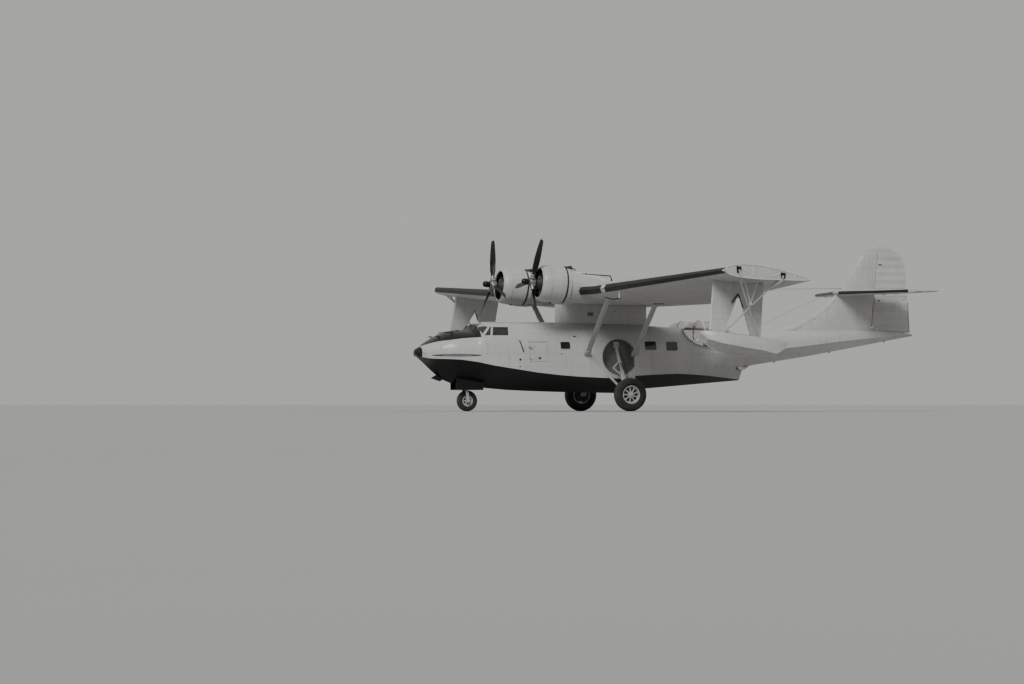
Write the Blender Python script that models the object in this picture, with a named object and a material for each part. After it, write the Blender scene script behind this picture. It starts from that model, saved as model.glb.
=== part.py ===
"""Twin-engined amphibious flying boat, parked on its wheels.

Metres. +X is towards the nose, +Y to port, +Z up, and the wheels stand on z = 0.
Lengths along the hull are stations: metres aft of the nose. Heights in the tables are metres
above the keel at the main step. world() turns both into the scene's own coordinates.
"""

import bpy
import bmesh
import numpy as np
from mathutils import Vector

# Overall sizes
LENGTH = 19.46
KEEL_HEIGHT = 0.66          # keel at the main step, above the floor
SEAT = 0.0003               # gap between pieces that rest on each other
SWING_GAP = 0.012           # gap round a piece that swings
PORT, STARBOARD = 1, -1
SIDES = (("left", PORT), ("right", STARBOARD))

# Hull
SKIN = 0.03                 # hull wall
ROUNDNESS = 2.3             # exponent of the rounded top: 2 is an ellipse
NOSE_CAP_END = 0.15
NOSE_HEIGHT = 1.44
# station and share of the full section, from the tip back
NOSE_CAP = ((0.0, 0.30), (0.03, 0.62), (0.08, 0.86), (NOSE_CAP_END, 1.0))
COCKPIT_START = 1.95
COCKPIT_END = 3.45
STEP = 7.88                 # main step
SECOND_STEP = 12.50
# station, keel, chine height, chine half-beam, side height, side half-beam, top
FOREBODY = (
    (0.15, 1.27, 1.30, 0.24, 1.42, 0.28, 1.62),
    (0.35, 1.07, 1.24, 0.56, 1.42, 0.58, 1.77),
    (0.60, 0.83, 1.22, 0.78, 1.42, 0.80, 1.92),
    (1.00, 0.50, 1.21, 1.02, 1.42, 1.04, 2.14),
    (1.40, 0.345, 1.19, 1.17, 1.41, 1.17, 2.24),
    (2.00, 0.267, 1.10, 1.35, 1.40, 1.29, 2.27),
    (2.18, 0.245, 1.06, 1.38, 1.40, 1.32, 2.50),
    (2.50, 0.205, 0.99, 1.45, 1.39, 1.36, 2.55),
    (3.20, 0.13, 0.88, 1.52, 1.38, 1.42, 2.565),
    (4.20, 0.08, 0.73, 1.55, 1.37, 1.46, 2.56),
    (5.70, 0.035, 0.59, 1.55, 1.36, 1.48, 2.56),
    (STEP, 0.0, 0.50, 1.55, 1.36, 1.45, 2.52),
)
AFTERBODY = (
    (STEP, 0.09, 0.62, 1.50, 1.36, 1.45, 2.52),
    (9.64, 0.23, 0.70, 1.30, 1.40, 1.36, 2.41),
    (11.00, 0.345, 0.63, 0.82, 1.44, 1.20, 2.34),
    (SECOND_STEP, 0.47, 0.50, 0.10, 1.50, 0.98, 2.24),
)
TAIL = (
    (SECOND_STEP, 0.93, 0.97, 0.40, 1.50, 0.98, 2.24),
    (13.60, 1.11, 1.14, 0.34, 1.59, 0.80, 2.28),
    (15.00, 1.32, 1.35, 0.27, 1.74, 0.60, 2.33),
    (16.60, 1.60, 1.62, 0.19, 1.93, 0.41, 2.37),
    (18.00, 1.86, 1.875, 0.11, 2.06, 0.24, 2.33),
    (19.10, 2.06, 2.07, 0.05, 2.15, 0.11, 2.26),
    (LENGTH, 2.12, 2.125, 0.02, 2.15, 0.03, 2.18),
)
BOW_STATIONS = (0.15, 0.35, 0.60, 1.00, 1.40, COCKPIT_START)
COCKPIT_STATIONS = (COCKPIT_START, 2.00, 2.09, 2.18, 2.50, 2.80, COCKPIT_END)
CABIN_STATIONS = (COCKPIT_END, 4.20, 5.00, 5.70, 6.60, STEP)
WAIST_STATIONS = (STEP, 8.70, 9.64, 10.35, 11.00, 11.75, SECOND_STEP)
TAIL_STATIONS = (SECOND_STEP, 13.60, 15.00, 16.60, 18.00, 19.10, LENGTH)
ARC_STEPS = 7               # steps of the rounded top, on each side

# Cockpit glazing
SILL = 2.02                 # canopy's lower edge, above the keel
GLASS = 0.008
GLASS_GAP = 0.006           # between a pane and the frame outside it
# station and y of each pane's four corners, seen from above
WINDSCREENS = (
    ((2.05, 0.05), (2.06, 0.61), (2.38, 0.61), (2.22, 0.05)),
    ((2.07, 0.68), (2.22, 1.09), (2.54, 0.80), (2.42, 0.68)),
)
# station and height of each pane's four corners, seen from the side
COCKPIT_SIDE_WINDOWS = (
    ((2.28, 2.06), (2.49, 2.06), (2.62, 2.37), (2.58, 2.37)),
    ((2.56, 2.06), (3.15, 2.06), (3.25, 2.36), (2.68, 2.36)),
)

# Cockpit fittings
SEAT_Y = 0.48
SEAT_STATION = 3.05
SEAT_PAN = (0.46, 0.44, 0.10)       # length, width, thickness
SEAT_BACK_HEIGHT = 0.62
SEAT_HEIGHT = 1.38
PANEL_STATION = 2.30
PANEL_SIZE = (0.05, 3.00, 0.42)     # length, width before the walls trim it, height
PANEL_TOP = 2.02
YOKE_STATION = 2.52
YOKE_HEIGHT = 1.72
YOKE_RADIUS = 0.16
YOKE_TUBE = 0.014

# Entry door, on the port side
DOOR_FRONT = 3.90
DOOR_LENGTH = 0.66
DOOR_BOTTOM = 1.13
DOOR_HEIGHT = 0.68
DOOR_GAP = 0.008
DOOR_HINGE_Y = 1.505        # hinge line, just outside the hull's widest point there
DOOR_PIN = 0.012
DOOR_KNUCKLE_HEIGHT = 0.035
DOOR_KNUCKLE_ARM = 0.05
DOOR_HINGES = (1.20, 1.62)  # height of each hinge's lower end

# Side blisters: transparent teardrops behind the wing
BLISTER_CENTRE = (11.02, 0.84, 2.10)
BLISTER_RADII = (1.07, 0.66, 0.56)
BLISTER_TAPER = 0.24        # how much fuller than an ellipsoid at its front end, and slimmer at the rear
BLISTER_FRAME = 0.022
BLISTER_RIBS = (10.60, 11.27)
BLISTER_RIB_WIDTH = 0.05
BLISTER_BASE_BAND = 0.05
BLISTER_LEDGE = 0.02        # hull left standing inside the frame

# Wing
SEMISPAN = 15.20
CENTRE_HALF = 4.30
ROOT_CHORD = 4.57
TIP_CHORD = 3.13
INCIDENCE = np.radians(6.0)
ROOT_EDGE = (5.30, 3.66)            # leading edge at the centre: station, height
TIP_SWEEP = 0.56
TIP_RISE = 0.42
ROOT_THICKNESS = 0.175
TIP_THICKNESS = 0.145
CAMBER = 0.02
WING_WALL = 0.02
HINGE_FRACTION = 0.78
AILERON_START = 6.65
AILERON_END = 14.95
TIP_GAP = 0.022             # between an aileron's end and the fixed trailing edge
NOSE_STEPS = 6
SECTION_STEPS = 12          # points over the top of the wing's section
BLUNT_EDGE = 0.012          # added to the formula's thickness share at the trailing edge
NOSE_WALLS = 1.6            # inner hollow's distance from the leading edge, in walls
SHARP_EDGE_WALLS = 4.4      # and from a full section's trailing edge
LEAST_HOLLOW = 0.15         # of the half-thickness, where the section is too thin for its walls
AILERON_NOSE_SHARE = 0.92   # aileron's nose radius over the wing's half-thickness there
AILERON_NOSE_BLEND = 0.03   # of the chord, from the hinge line to where the skin starts
HINGE_PIN = 0.015           # radius of the control surfaces' hinge pins

# Pylon
PYLON_FRONT = 5.36
PYLON_LENGTH = 3.55
PYLON_HALF_WIDTH = 0.46
PYLON_BOTTOM = 2.20

# Wing struts: front and rear on each side
STRUT_CHORD = 0.21
STRUT_THICKNESS = 0.085
STRUT_Y = (1.30, 4.25)
STRUT_HEIGHTS = (1.22, 3.55)
STRUT_STATIONS = ((6.06, 5.92), (7.86, 7.80))

# Engines and propellers
NACELLE_Y = 2.10
HUB = (3.72, 3.95)                  # station and height
THRUST_TILT = np.radians(5.0)
ROUND = 24
COWL_RADIUS = 0.665
COWL_FRONT = -0.24                  # behind the hub
COWL_BACK = -1.30
COWL_WALL = 0.02
LIP_RADIUS = 0.50
FIREWALL = -1.16
COWL_FLANGE_BACK = -1.20
COWL_FLANGE_WIDTH = 0.025
CASE_RADIUS = 0.26
# distance behind the hub and radius of the reduction gear's case, from the shaft back
GEARBOX_FORM = ((-0.17, 0.05), (-0.171, 0.09), (-0.26, 0.15), (-0.34, 0.22))
CYLINDERS_PER_ROW = 7
CYLINDER_ROWS = (-0.48, -0.74)
CYLINDER_RADIUS = 0.105
CYLINDER_TOP = 0.60
FINS = 1
FIN_DEPTH = 0.020
PROPELLER_RADIUS = 1.77
HUB_RADIUS = 0.15
HUB_BACK = -0.15            # hub's rear face, which the engine's shaft reaches
SHAFT_RADIUS = 0.05
DOME_LENGTH = 0.38
BLADES = 3
BLADE_PHASES = {PORT: np.radians(26.0), STARBOARD: np.radians(-13.5)}
# share of the radius, chord, thickness, pitch angle in degrees
BLADE_FORM = (
    (0.05, 0.110, 0.110, 62.0),
    (0.17, 0.120, 0.100, 58.0),
    (0.30, 0.215, 0.060, 48.0),
    (0.50, 0.265, 0.038, 36.0),
    (0.70, 0.255, 0.026, 28.0),
    (0.88, 0.205, 0.018, 23.0),
    (0.97, 0.130, 0.012, 21.0),
    (1.00, 0.050, 0.008, 20.0),
)
# distance behind the hub, drop of the centre below the thrust line, half-width, half-height
NACELLE_FORM = (
    (FIREWALL, 0.00, 0.600, 0.600),
    (COWL_FLANGE_BACK, 0.00, 0.600, 0.600),
    (-1.60, 0.01, 0.585, 0.590),
    (-2.20, 0.03, 0.520, 0.540),
    (-2.80, 0.06, 0.400, 0.430),
    (-3.30, 0.05, 0.260, 0.300),
    (-3.70, 0.02, 0.100, 0.130),
)

# Wing-tip floats
FLOAT_Y = 13.70
# station, keel, chine height, chine half-beam, deck height
FLOAT_FORM = (
    (5.57, 1.96, 2.00, 0.05, 2.06),
    (5.75, 1.62, 1.80, 0.26, 2.09),
    (6.20, 1.36, 1.66, 0.42, 2.06),
    (7.00, 1.23, 1.52, 0.47, 1.97),
    (7.70, 1.17, 1.42, 0.44, 1.89),
    (8.19, 1.14, 1.30, 0.36, 1.82),
    (8.50, 1.36, 1.46, 0.25, 1.76),
    (8.69, 1.62, 1.64, 0.08, 1.70),
)
FLOAT_PANEL_THICKNESS = 0.10
PANEL_TOP_Y = 13.40
# station and height of the panel's corners: front bottom, front top, rear top, rear bottom
PANEL_OUTLINE = ((5.95, 1.98), (6.22, 4.10), (7.98, 4.00), (7.72, 1.80))
# opening in the panel: front bottom, peak, rear bottom
PANEL_OPENING = ((6.26, 1.70), (7.02, 3.34), (7.46, 1.60))
FLOAT_STRUT_RADIUS = 0.028
# station and height of each brace's ends, inside the wing and inside the float
FLOAT_BRACES = (((6.35, 4.02), (7.66, 1.70)), ((7.95, 3.86), (6.18, 1.86)))
FLOAT_BRACE_Y = (15.05, 13.86)

# Tail surfaces
RUDDER_HINGE = ((17.84, 2.20), (18.11, 5.13))   # lower and upper end: station and height
RUDDER_NOSE = 0.07
RUDDER_BOTTOM = 2.44
RUDDER_FOOT_GAP = 0.03      # below the rudder, down to its hinge bracket
RUDDER_BRACKET = 0.03       # bracket's half-width
FIN_HALF = (0.13, 0.085)            # half-thickness at the foot and at the top
FIN_REAR_HALF = 0.072
# station and height along the leading edge, from the hull up
FIN_TOP = 5.10
FIN_EDGE = ((14.20, 2.10), (14.96, 2.55), (15.58, 2.83), (16.12, 3.21), (16.51, 3.74), (17.43, FIN_TOP))
# station and height from the horn's nose over the top to the lower trailing edge
RUDDER_OUTLINE = (
    (17.38, 5.14), (17.40, 5.27), (17.62, 5.42), (18.09, 5.49), (18.55, 5.40),
    (18.92, 5.16), (19.15, 4.84), (19.27, 3.56), (19.36, RUDDER_BOTTOM),
)
STABILIZER_HEIGHT = 3.70
STABILIZER_THICKNESS = 0.26
ELEVATOR_HINGE = 17.80
ELEVATOR_NOSE = 0.06
TAIL_TAPER = 0.55
ELEVATOR_ROOT = 0.36
TORQUE_TUBE = 0.03
# y and station along the leading edge, root to tip
STABILIZER_EDGE = ((0.02, 16.32), (3.60, 17.12), (4.25, 17.36))
# y and station along the elevator's outer edge, from its root's trailing edge
ELEVATOR_EDGE = (
    (ELEVATOR_ROOT, 18.62), (0.80, 19.06), (2.60, 19.06), (3.60, 18.90), (4.25, 18.60), (4.62, 18.20))

# Landing gear
MAIN_STATION = 7.30
MAIN_Y = 2.56
MAIN_RADIUS = 0.60
MAIN_WIDTH = 0.40
MAIN_RIM = 0.33
WELL_RADIUS = 0.66
WELL_HEIGHT = 1.29
WELL_FLOOR_Y = 1.02
WELL_WALL = 0.015
WELL_BEAM = 0.15            # half-width of the beam that joins the wells
MAIN_BLOCK = 0.12           # thickness of the block that carries the leg in its well
MAIN_LEG_TOP = 1.74
NOSE_WHEEL_STATION = 2.00
NOSE_RADIUS = 0.38
NOSE_WIDTH = 0.26
NOSE_RIM = 0.20
NOSE_WELL = (1.45, 2.55, 0.29, 0.98)    # start, end, half-width, ceiling
NOSE_DOOR_TOP = 0.30        # door's upper edge, above the keel at the bay
NOSE_DOOR_DROP = 0.16       # door's lower edge, below that keel

OPAQUE_SKIN = (0.62, 0.62, 0.60, 1.0)
BLACK_PAINT = (0.03, 0.03, 0.03, 1.0)
GREY_PAINT = (0.30, 0.31, 0.32, 1.0)
BARE_METAL = (0.55, 0.56, 0.57, 1.0)
TYRE_BLACK = (0.025, 0.025, 0.025, 1.0)
PANE_TINT = (0.55, 0.62, 0.65, 0.35)


def world(points):
    """Station, y and height above the main keel, as scene coordinates."""
    points = np.asarray(points, float)
    return np.stack([LENGTH / 2 - points[:, 0], points[:, 1], points[:, 2] + KEEL_HEIGHT], axis=1)


def spot(station, y, height):
    return Vector(world([(station, y, height)])[0])


def clear_scene():
    for old in list(bpy.data.objects):
        bpy.data.objects.remove(old)


def paint(name, colour, roughness, metallic):
    """One Principled BSDF material, shared by the pieces that have this finish."""
    found = bpy.data.materials.get(name)
    if found:
        return found
    made = bpy.data.materials.new(name)
    made.use_nodes = True
    shader = made.node_tree.nodes["Principled BSDF"]
    shader.inputs["Base Color"].default_value = colour
    shader.inputs["Roughness"].default_value = roughness
    shader.inputs["Metallic"].default_value = metallic
    shader.inputs["Alpha"].default_value = colour[3]
    return made


FINISHES = {
    "skin": ("hull_paint", OPAQUE_SKIN, 0.45, 0.0),
    "black": ("black_paint", BLACK_PAINT, 0.5, 0.0),
    "grey": ("grey_paint", GREY_PAINT, 0.5, 0.0),
    "metal": ("bare_metal", BARE_METAL, 0.35, 0.9),
    "tyre": ("tyre_rubber", TYRE_BLACK, 0.85, 0.0),
    "glass": ("clear_pane", PANE_TINT, 0.05, 0.0),
}


def add(name, shape, finish, pivot=None, helper=False):
    """A named object from one or more closed shapes; its origin is at the pivot."""
    points, faces = shape
    origin = Vector((0, 0, 0)) if pivot is None else Vector(pivot)
    mesh = bpy.data.meshes.new(name)
    mesh.from_pydata((np.asarray(points) - np.array(origin)).tolist(), [], [list(face) for face in faces])
    work = bmesh.new()
    work.from_mesh(mesh)
    bmesh.ops.recalc_face_normals(work, faces=work.faces)
    if work.calc_volume(signed=True) < 0:
        bmesh.ops.reverse_faces(work, faces=work.faces)
    work.to_mesh(mesh)
    work.free()
    mesh.shade_smooth()
    mesh.set_sharp_from_angle(angle=np.radians(30))
    made = bpy.data.objects.new(name, mesh)
    made.location = origin
    bpy.context.scene.collection.objects.link(made)
    if helper:
        made.hide_render = True
        made.display_type = "WIRE"
    else:
        mesh.materials.append(paint(*FINISHES[finish]))
    return made


def cutter(name, shape):
    return add(name + "_cutter", shape, None, helper=True)


def combine(piece, other, operation="DIFFERENCE"):
    step = piece.modifiers.new(other.name, "BOOLEAN")
    step.operation = operation
    step.object = other
    step.solver = "EXACT"


def join(shapes):
    """Several closed shapes as one list of points and faces."""
    points, faces, start = [], [], 0
    for shape_points, shape_faces in shapes:
        points.append(np.asarray(shape_points))
        faces += [[index + start for index in face] for face in shape_faces]
        start += len(shape_points)
    return np.concatenate(points), faces


def band(low, high, count):
    """Triangles between two rings of `count` points, always split the same way."""
    faces = []
    for index in range(count):
        after = (index + 1) % count
        faces.append([low + index, low + after, high + after])
        faces.append([low + index, high + after, high + index])
    return faces


def bands(rings, count, first=0):
    """The bands between neighbouring rings, from the ring that starts at point `first`."""
    faces = []
    for ring in range(rings - 1):
        faces += band(first + ring * count, first + (ring + 1) * count, count)
    return faces


def loft(rings):
    """A solid through closed rings of equally many points, capped at both ends."""
    count = len(rings[0])
    faces = bands(len(rings), count)
    faces.append(list(range(count)))
    faces.append([(len(rings) - 1) * count + index for index in range(count)])
    return np.concatenate(rings), faces


def sleeve(outer, inner, capped=False):
    """A tube between outer and inner rings; capped closes its last end with a wall."""
    count, size = len(outer[0]), len(outer)
    inner_start = size * count
    faces = bands(size, count) + bands(len(inner), count, inner_start)
    ends = [(0, inner_start)]
    outer_last = (size - 1) * count
    inner_last = inner_start + (len(inner) - 1) * count
    if capped:
        faces.append([outer_last + index for index in range(count)])
        faces.append([inner_last + index for index in range(count)])
    else:
        ends.append((outer_last, inner_last))
    for low, high in ends:
        faces += band(low, high, count)
    return np.concatenate(list(outer) + list(inner)), faces


def box(low, high):
    """A box between two corners, given as station, y and height."""
    low, high = world([low])[0], world([high])[0]
    low, high = np.minimum(low, high), np.maximum(low, high)
    ring = np.array([(low[0], low[1]), (high[0], low[1]), (high[0], high[1]), (low[0], high[1])])
    return loft([np.column_stack([ring, np.full(4, z)]) for z in (low[2], high[2])])


def basis(axis):
    """Two unit vectors at right angles to the axis and to each other."""
    axis = np.asarray(axis, float) / np.linalg.norm(axis)
    helper = np.array([0.0, 0.0, 1.0]) if abs(axis[2]) < 0.9 else np.array([1.0, 0.0, 0.0])
    across = np.cross(helper, axis)
    across /= np.linalg.norm(across)
    return axis, across, np.cross(axis, across)


def turned(profile, origin, axis, segments=ROUND, closed=False):
    """A profile of (distance along the axis, radius) turned about the axis through the origin."""
    axis, across, up = basis(axis)
    angles = np.linspace(0, 2 * np.pi, segments, endpoint=False)
    rims = np.outer(np.cos(angles), across) + np.outer(np.sin(angles), up)
    rings = [np.asarray(origin) + along * axis + radius * rims for along, radius in profile]
    if not closed:
        return loft(rings)
    around = band((len(rings) - 1) * segments, 0, segments)
    return np.concatenate(rings), bands(len(rings), segments) + around


def rod(start, end, radius, segments=12, end_radius=None):
    """A round bar between two points."""
    start, end = np.asarray(start, float), np.asarray(end, float)
    length = np.linalg.norm(end - start)
    return turned(((0, radius), (length, end_radius or radius)), start, end - start, segments)


def at(table, station):
    """The table's columns at a station, joined by smooth curves that never overshoot."""
    table = np.array(table)
    xs = table[:, 0]
    gaps = np.diff(xs)[:, None]
    slopes = np.diff(table, axis=0) / gaps
    tangents = np.zeros_like(table)
    same = slopes[:-1] * slopes[1:] > 0
    sums = np.where(same, slopes[:-1] + slopes[1:], 1.0)
    tangents[1:-1] = np.where(same, 2 * slopes[:-1] * slopes[1:] / sums, 0.0)
    tangents[0], tangents[-1] = slopes[0], slopes[-1]
    index = int(np.clip(np.searchsorted(xs, station) - 1, 0, len(xs) - 2))
    gap = xs[index + 1] - xs[index]
    t = np.clip((station - xs[index]) / gap, 0, 1)
    return (
        (2 * t**3 - 3 * t**2 + 1) * table[index] + (t**3 - 2 * t**2 + t) * gap * tangents[index]
        + (3 * t**2 - 2 * t**3) * table[index + 1] + (t**3 - t**2) * gap * tangents[index + 1]
    )


def top_arc(half, side, top):
    """The rounded top from the port side over to starboard, as y and height."""
    angle = np.linspace(0, np.pi, 2 * ARC_STEPS + 1)
    bend = 2 / ROUNDNESS
    y = half * np.sign(np.cos(angle)) * np.abs(np.cos(angle)) ** bend
    height = side + (top - side) * np.abs(np.sin(angle)) ** bend
    return y, height


def hull_ring(table, station, grow=0.0, keel=False):
    """One closed ring of the hull above its chines, or with its keel; grow moves it outwards."""
    _, keel_z, chine_z, chine_half, side_z, side_half, top = at(table, station)
    y, height = top_arc(side_half + grow, side_z, top + grow)
    low_z = chine_z - grow
    ys = [*y, -(chine_half + grow)]
    heights = [*height, low_z]
    if keel:
        ys.append(0.0)
        heights.append(keel_z - grow)
    ys.append(chine_half + grow)
    heights.append(low_z)
    return world(np.column_stack([np.full(len(ys), station), ys, heights]))


def hull_half(table, station, height):
    """Half-width of the hull's rounded top at a height."""
    _, _, _, _, side_z, side_half, top = at(table, station)
    share = max(height - side_z, 0.0) / (top - side_z)
    return side_half * (1 - share**ROUNDNESS) ** (1 / ROUNDNESS)


def inset_ends(stations, gap=SEAT):
    inside = list(stations)
    inside[0] += gap
    inside[-1] -= gap
    return inside


def hull_solid(table, stations, grow=0.0, keel=False):
    return loft([hull_ring(table, station, grow, keel) for station in stations])


def hull_shell(table, stations, keel=False, wall=SKIN, offset=0.0, capped=False):
    """The hull's wall between the first and the last station."""
    outer = [hull_ring(table, station, -offset, keel) for station in stations]
    inner_stations = list(stations)
    if capped:
        inner_stations[-1] -= wall
    inner = [hull_ring(table, station, -offset - wall, keel) for station in inner_stations]
    return sleeve(outer, inner, capped)


def bottom_ring(table, station, grow=0.0):
    _, keel_z, chine_z, chine_half, _, _, _ = at(table, station)
    top = chine_z - SEAT
    return world([
        (station, chine_half, top - grow), (station, -chine_half, top - grow), (station, 0.0, keel_z - grow)])


def half_space_above(name, height, start, end):
    return cutter(name, box((start, -4.0, height), (end, 4.0, height + 4.0)))


def side_windows():
    """Prisms through the canopy's sides, one on each side for each row of the table."""
    return [
        loft([world([(station, side * y, height) for station, height in corners]) for y in (0.4, 4.0)])
        for _, side in SIDES for corners in COCKPIT_SIDE_WINDOWS]


def windscreens():
    """Prisms down through the canopy's front, one on each side for each row of the table."""
    return [
        loft([world([(station, side * y, SILL + height) for station, y in corners]) for height in (0.02, 1.0)])
        for _, side in SIDES for corners in WINDSCREENS]


def build_bow():
    """Solid bow; its first slices shrink into the rounded nose cap."""
    base = hull_ring(FOREBODY, NOSE_CAP_END)
    middle = np.array(spot(NOSE_CAP_END, 0, NOSE_HEIGHT))
    rings = []
    for station, share in NOSE_CAP:
        ring = middle + (base - middle) * share
        ring[:, 0] = LENGTH / 2 - station
        rings.append(ring)
    rings += [hull_ring(FOREBODY, station) for station in inset_ends(BOW_STATIONS)[1:]]
    add("hull_bow", loft(rings), "skin")


def build_bottoms():
    """Planing bottoms: solid wedges from the chines down to the keel, with the nose wheel's bay."""
    stations = inset_ends(sorted({*BOW_STATIONS, *COCKPIT_STATIONS, *CABIN_STATIONS}))
    fore = add("planing_bottom_fore", loft([bottom_ring(FOREBODY, s) for s in stations]), "black")
    start, end, half, ceiling = NOSE_WELL
    combine(fore, cutter("nose_well", box((start, -half, -1.0), (end, half, ceiling))))
    aft = [bottom_ring(AFTERBODY, s) for s in inset_ends(WAIST_STATIONS)]
    add("planing_bottom_aft", loft(aft), "black")


def build_cockpit():
    """Cockpit section of the hull, its canopy, panes, seats, panel and yokes."""
    stations = inset_ends(COCKPIT_STATIONS)
    above = half_space_above("above_sill", SILL, COCKPIT_START - 1, COCKPIT_END + 1)
    canopy_zone = half_space_above("canopy_zone", SILL + SEAT, COCKPIT_START - 1, COCKPIT_END + 1)
    tub = add("hull_cockpit", hull_shell(FOREBODY, stations), "skin")
    combine(tub, above)
    canopy = add("cockpit_canopy", hull_shell(FOREBODY, stations), "skin")
    combine(canopy, canopy_zone, "INTERSECT")
    combine(canopy, cutter("cockpit_window", join(side_windows())))
    combine(canopy, cutter("windscreen", join(windscreens())))
    inner = hull_shell(FOREBODY, stations, wall=GLASS, offset=SKIN + GLASS_GAP)
    panes = add("cockpit_glass", inner, "glass")
    combine(panes, canopy_zone, "INTERSECT")

    floor = at(FOREBODY, SEAT_STATION - 0.10)[2] + SKIN
    seats = []
    for side in (PORT, STARBOARD):
        length, width, thick = SEAT_PAN
        back = SEAT_STATION + length / 2
        y0, y1 = side * SEAT_Y - width / 2, side * SEAT_Y + width / 2
        profile = (
            (SEAT_STATION - length / 2, SEAT_HEIGHT), (SEAT_STATION - length / 2, SEAT_HEIGHT - thick),
            (SEAT_STATION - 0.10, SEAT_HEIGHT - thick), (SEAT_STATION - 0.10, floor + SEAT),
            (SEAT_STATION + 0.12, floor + SEAT), (SEAT_STATION + 0.12, SEAT_HEIGHT - thick),
            (back, SEAT_HEIGHT - thick), (back + 0.12, SEAT_HEIGHT + SEAT_BACK_HEIGHT),
            (back + 0.04, SEAT_HEIGHT + SEAT_BACK_HEIGHT), (back - 0.08, SEAT_HEIGHT),
        )
        seats.append(loft([world([(s, y, z) for s, z in profile]) for y in (y0, y1)]))
    beam = box((SEAT_STATION - 0.05, -SEAT_Y, floor + SEAT), (SEAT_STATION + 0.07, SEAT_Y, floor + 0.12))
    made = add("crew_seats", beam, "grey")
    combine(made, cutter("seat", join(seats)), "UNION")

    length, width, height = PANEL_SIZE
    panel = add("instrument_panel", box(
        (PANEL_STATION, -width / 2, PANEL_TOP - height),
        (PANEL_STATION + length, width / 2, PANEL_TOP)), "black")
    combine(panel, cutter("inside_walls", hull_solid(FOREBODY, stations, -SKIN - SEAT)), "INTERSECT")
    yokes = []
    reach = YOKE_STATION - PANEL_STATION - length - 2 * SEAT
    bar = at(FOREBODY, YOKE_STATION)[5] - 2 * SKIN
    for side in (PORT, STARBOARD):
        post = YOKE_TUBE * 1.4
        foot = at(FOREBODY, YOKE_STATION - post)[2] + SKIN + SEAT
        head = spot(YOKE_STATION, side * (bar - 0.10), YOKE_HEIGHT + YOKE_TUBE)
        yokes.append(rod(spot(YOKE_STATION, side * (bar - 0.10), foot), head, post, 8))
        wheel = spot(YOKE_STATION - reach / 2, side * SEAT_Y, YOKE_HEIGHT)
        yokes.append(turned((
            (0, YOKE_TUBE), (reach / 2 + 0.05, YOKE_TUBE), (reach / 2 + 0.05, YOKE_RADIUS),
            (reach / 2 + 0.07, YOKE_RADIUS)), wheel, (-1, 0, 0), 12))
    cross = rod(
        spot(YOKE_STATION, bar - 0.10, YOKE_HEIGHT), spot(YOKE_STATION, 0.10 - bar, YOKE_HEIGHT),
        YOKE_TUBE * 1.3, 8)
    made = add("control_yokes", cross, "black")
    for number, shape in enumerate(yokes):
        combine(made, cutter("yoke_%d" % number, shape), "UNION")


def build_cabin():
    """Cabin section with its door and door opening, and the wheel wells with the beam between them."""
    cabin = add("hull_cabin", hull_shell(FOREBODY, inset_ends(CABIN_STATIONS)), "skin")
    door_back, door_top = DOOR_FRONT + DOOR_LENGTH, DOOR_BOTTOM + DOOR_HEIGHT
    gap = DOOR_GAP
    combine(cabin, cutter("door_opening", box(
        (DOOR_FRONT - gap, 0.5, DOOR_BOTTOM - gap), (door_back + gap, 3.0, door_top + gap))))
    wells, holes = [], []
    for _, side in SIDES:
        centre = world([(MAIN_STATION, side * WELL_FLOOR_Y, WELL_HEIGHT)])[0]
        outward = (0, side, 0)
        deep, inner = 1.2, WELL_RADIUS - WELL_WALL
        holes.append(turned(((0, WELL_RADIUS + SEAT), (deep, WELL_RADIUS + SEAT)), centre, outward))
        wells.append(turned((
            (SEAT, WELL_RADIUS), (deep, WELL_RADIUS), (deep, inner), (WELL_WALL, inner)), centre, outward))
    combine(cabin, cutter("wheel_well", join(holes)))
    reach = WELL_FLOOR_Y + WELL_WALL / 2
    tubs = add("main_wheel_wells", box(
        (MAIN_STATION - WELL_BEAM, -reach, WELL_HEIGHT - WELL_BEAM),
        (MAIN_STATION + WELL_BEAM, reach, WELL_HEIGHT + WELL_BEAM)), "grey")
    combine(tubs, cutter("well_tub", join(wells)), "UNION")
    outline = cutter("hull_outline", hull_solid(FOREBODY, inset_ends(CABIN_STATIONS)))
    combine(tubs, outline, "INTERSECT")

    hinge = spot(DOOR_FRONT, DOOR_HINGE_Y, DOOR_BOTTOM + DOOR_HEIGHT / 2)
    door = add("entry_door", hull_shell(FOREBODY, CABIN_STATIONS), "skin", hinge)
    combine(door, cutter("door_zone", box(
        (DOOR_FRONT, 0.5, DOOR_BOTTOM), (door_back, 3.0, door_top))), "INTERSECT")
    tall = DOOR_KNUCKLE_HEIGHT
    for number, bottom in enumerate(DOOR_HINGES):
        skin_y = hull_half(FOREBODY, DOOR_FRONT, bottom + 2 * tall)
        upper = bottom + tall + SEAT
        for piece, low, reach in ((door, bottom, DOOR_KNUCKLE_ARM), (cabin, upper, -DOOR_KNUCKLE_ARM)):
            foot, head = (spot(DOOR_FRONT, DOOR_HINGE_Y, end) for end in (low, low + tall))
            pin = rod(foot, head, DOOR_PIN, 10)
            edge = DOOR_FRONT + (DOOR_PIN / 3 if reach > 0 else -DOOR_GAP - SEAT)
            arm = box((edge, skin_y - SKIN / 2, low), (edge + reach, DOOR_HINGE_Y + DOOR_PIN / 2, low + tall))
            tag = "%s_%d" % (piece.name, number)
            combine(piece, cutter("hinge_arm_" + tag, arm), "UNION")
            combine(piece, cutter("hinge_pin_" + tag, pin), "UNION")


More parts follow.
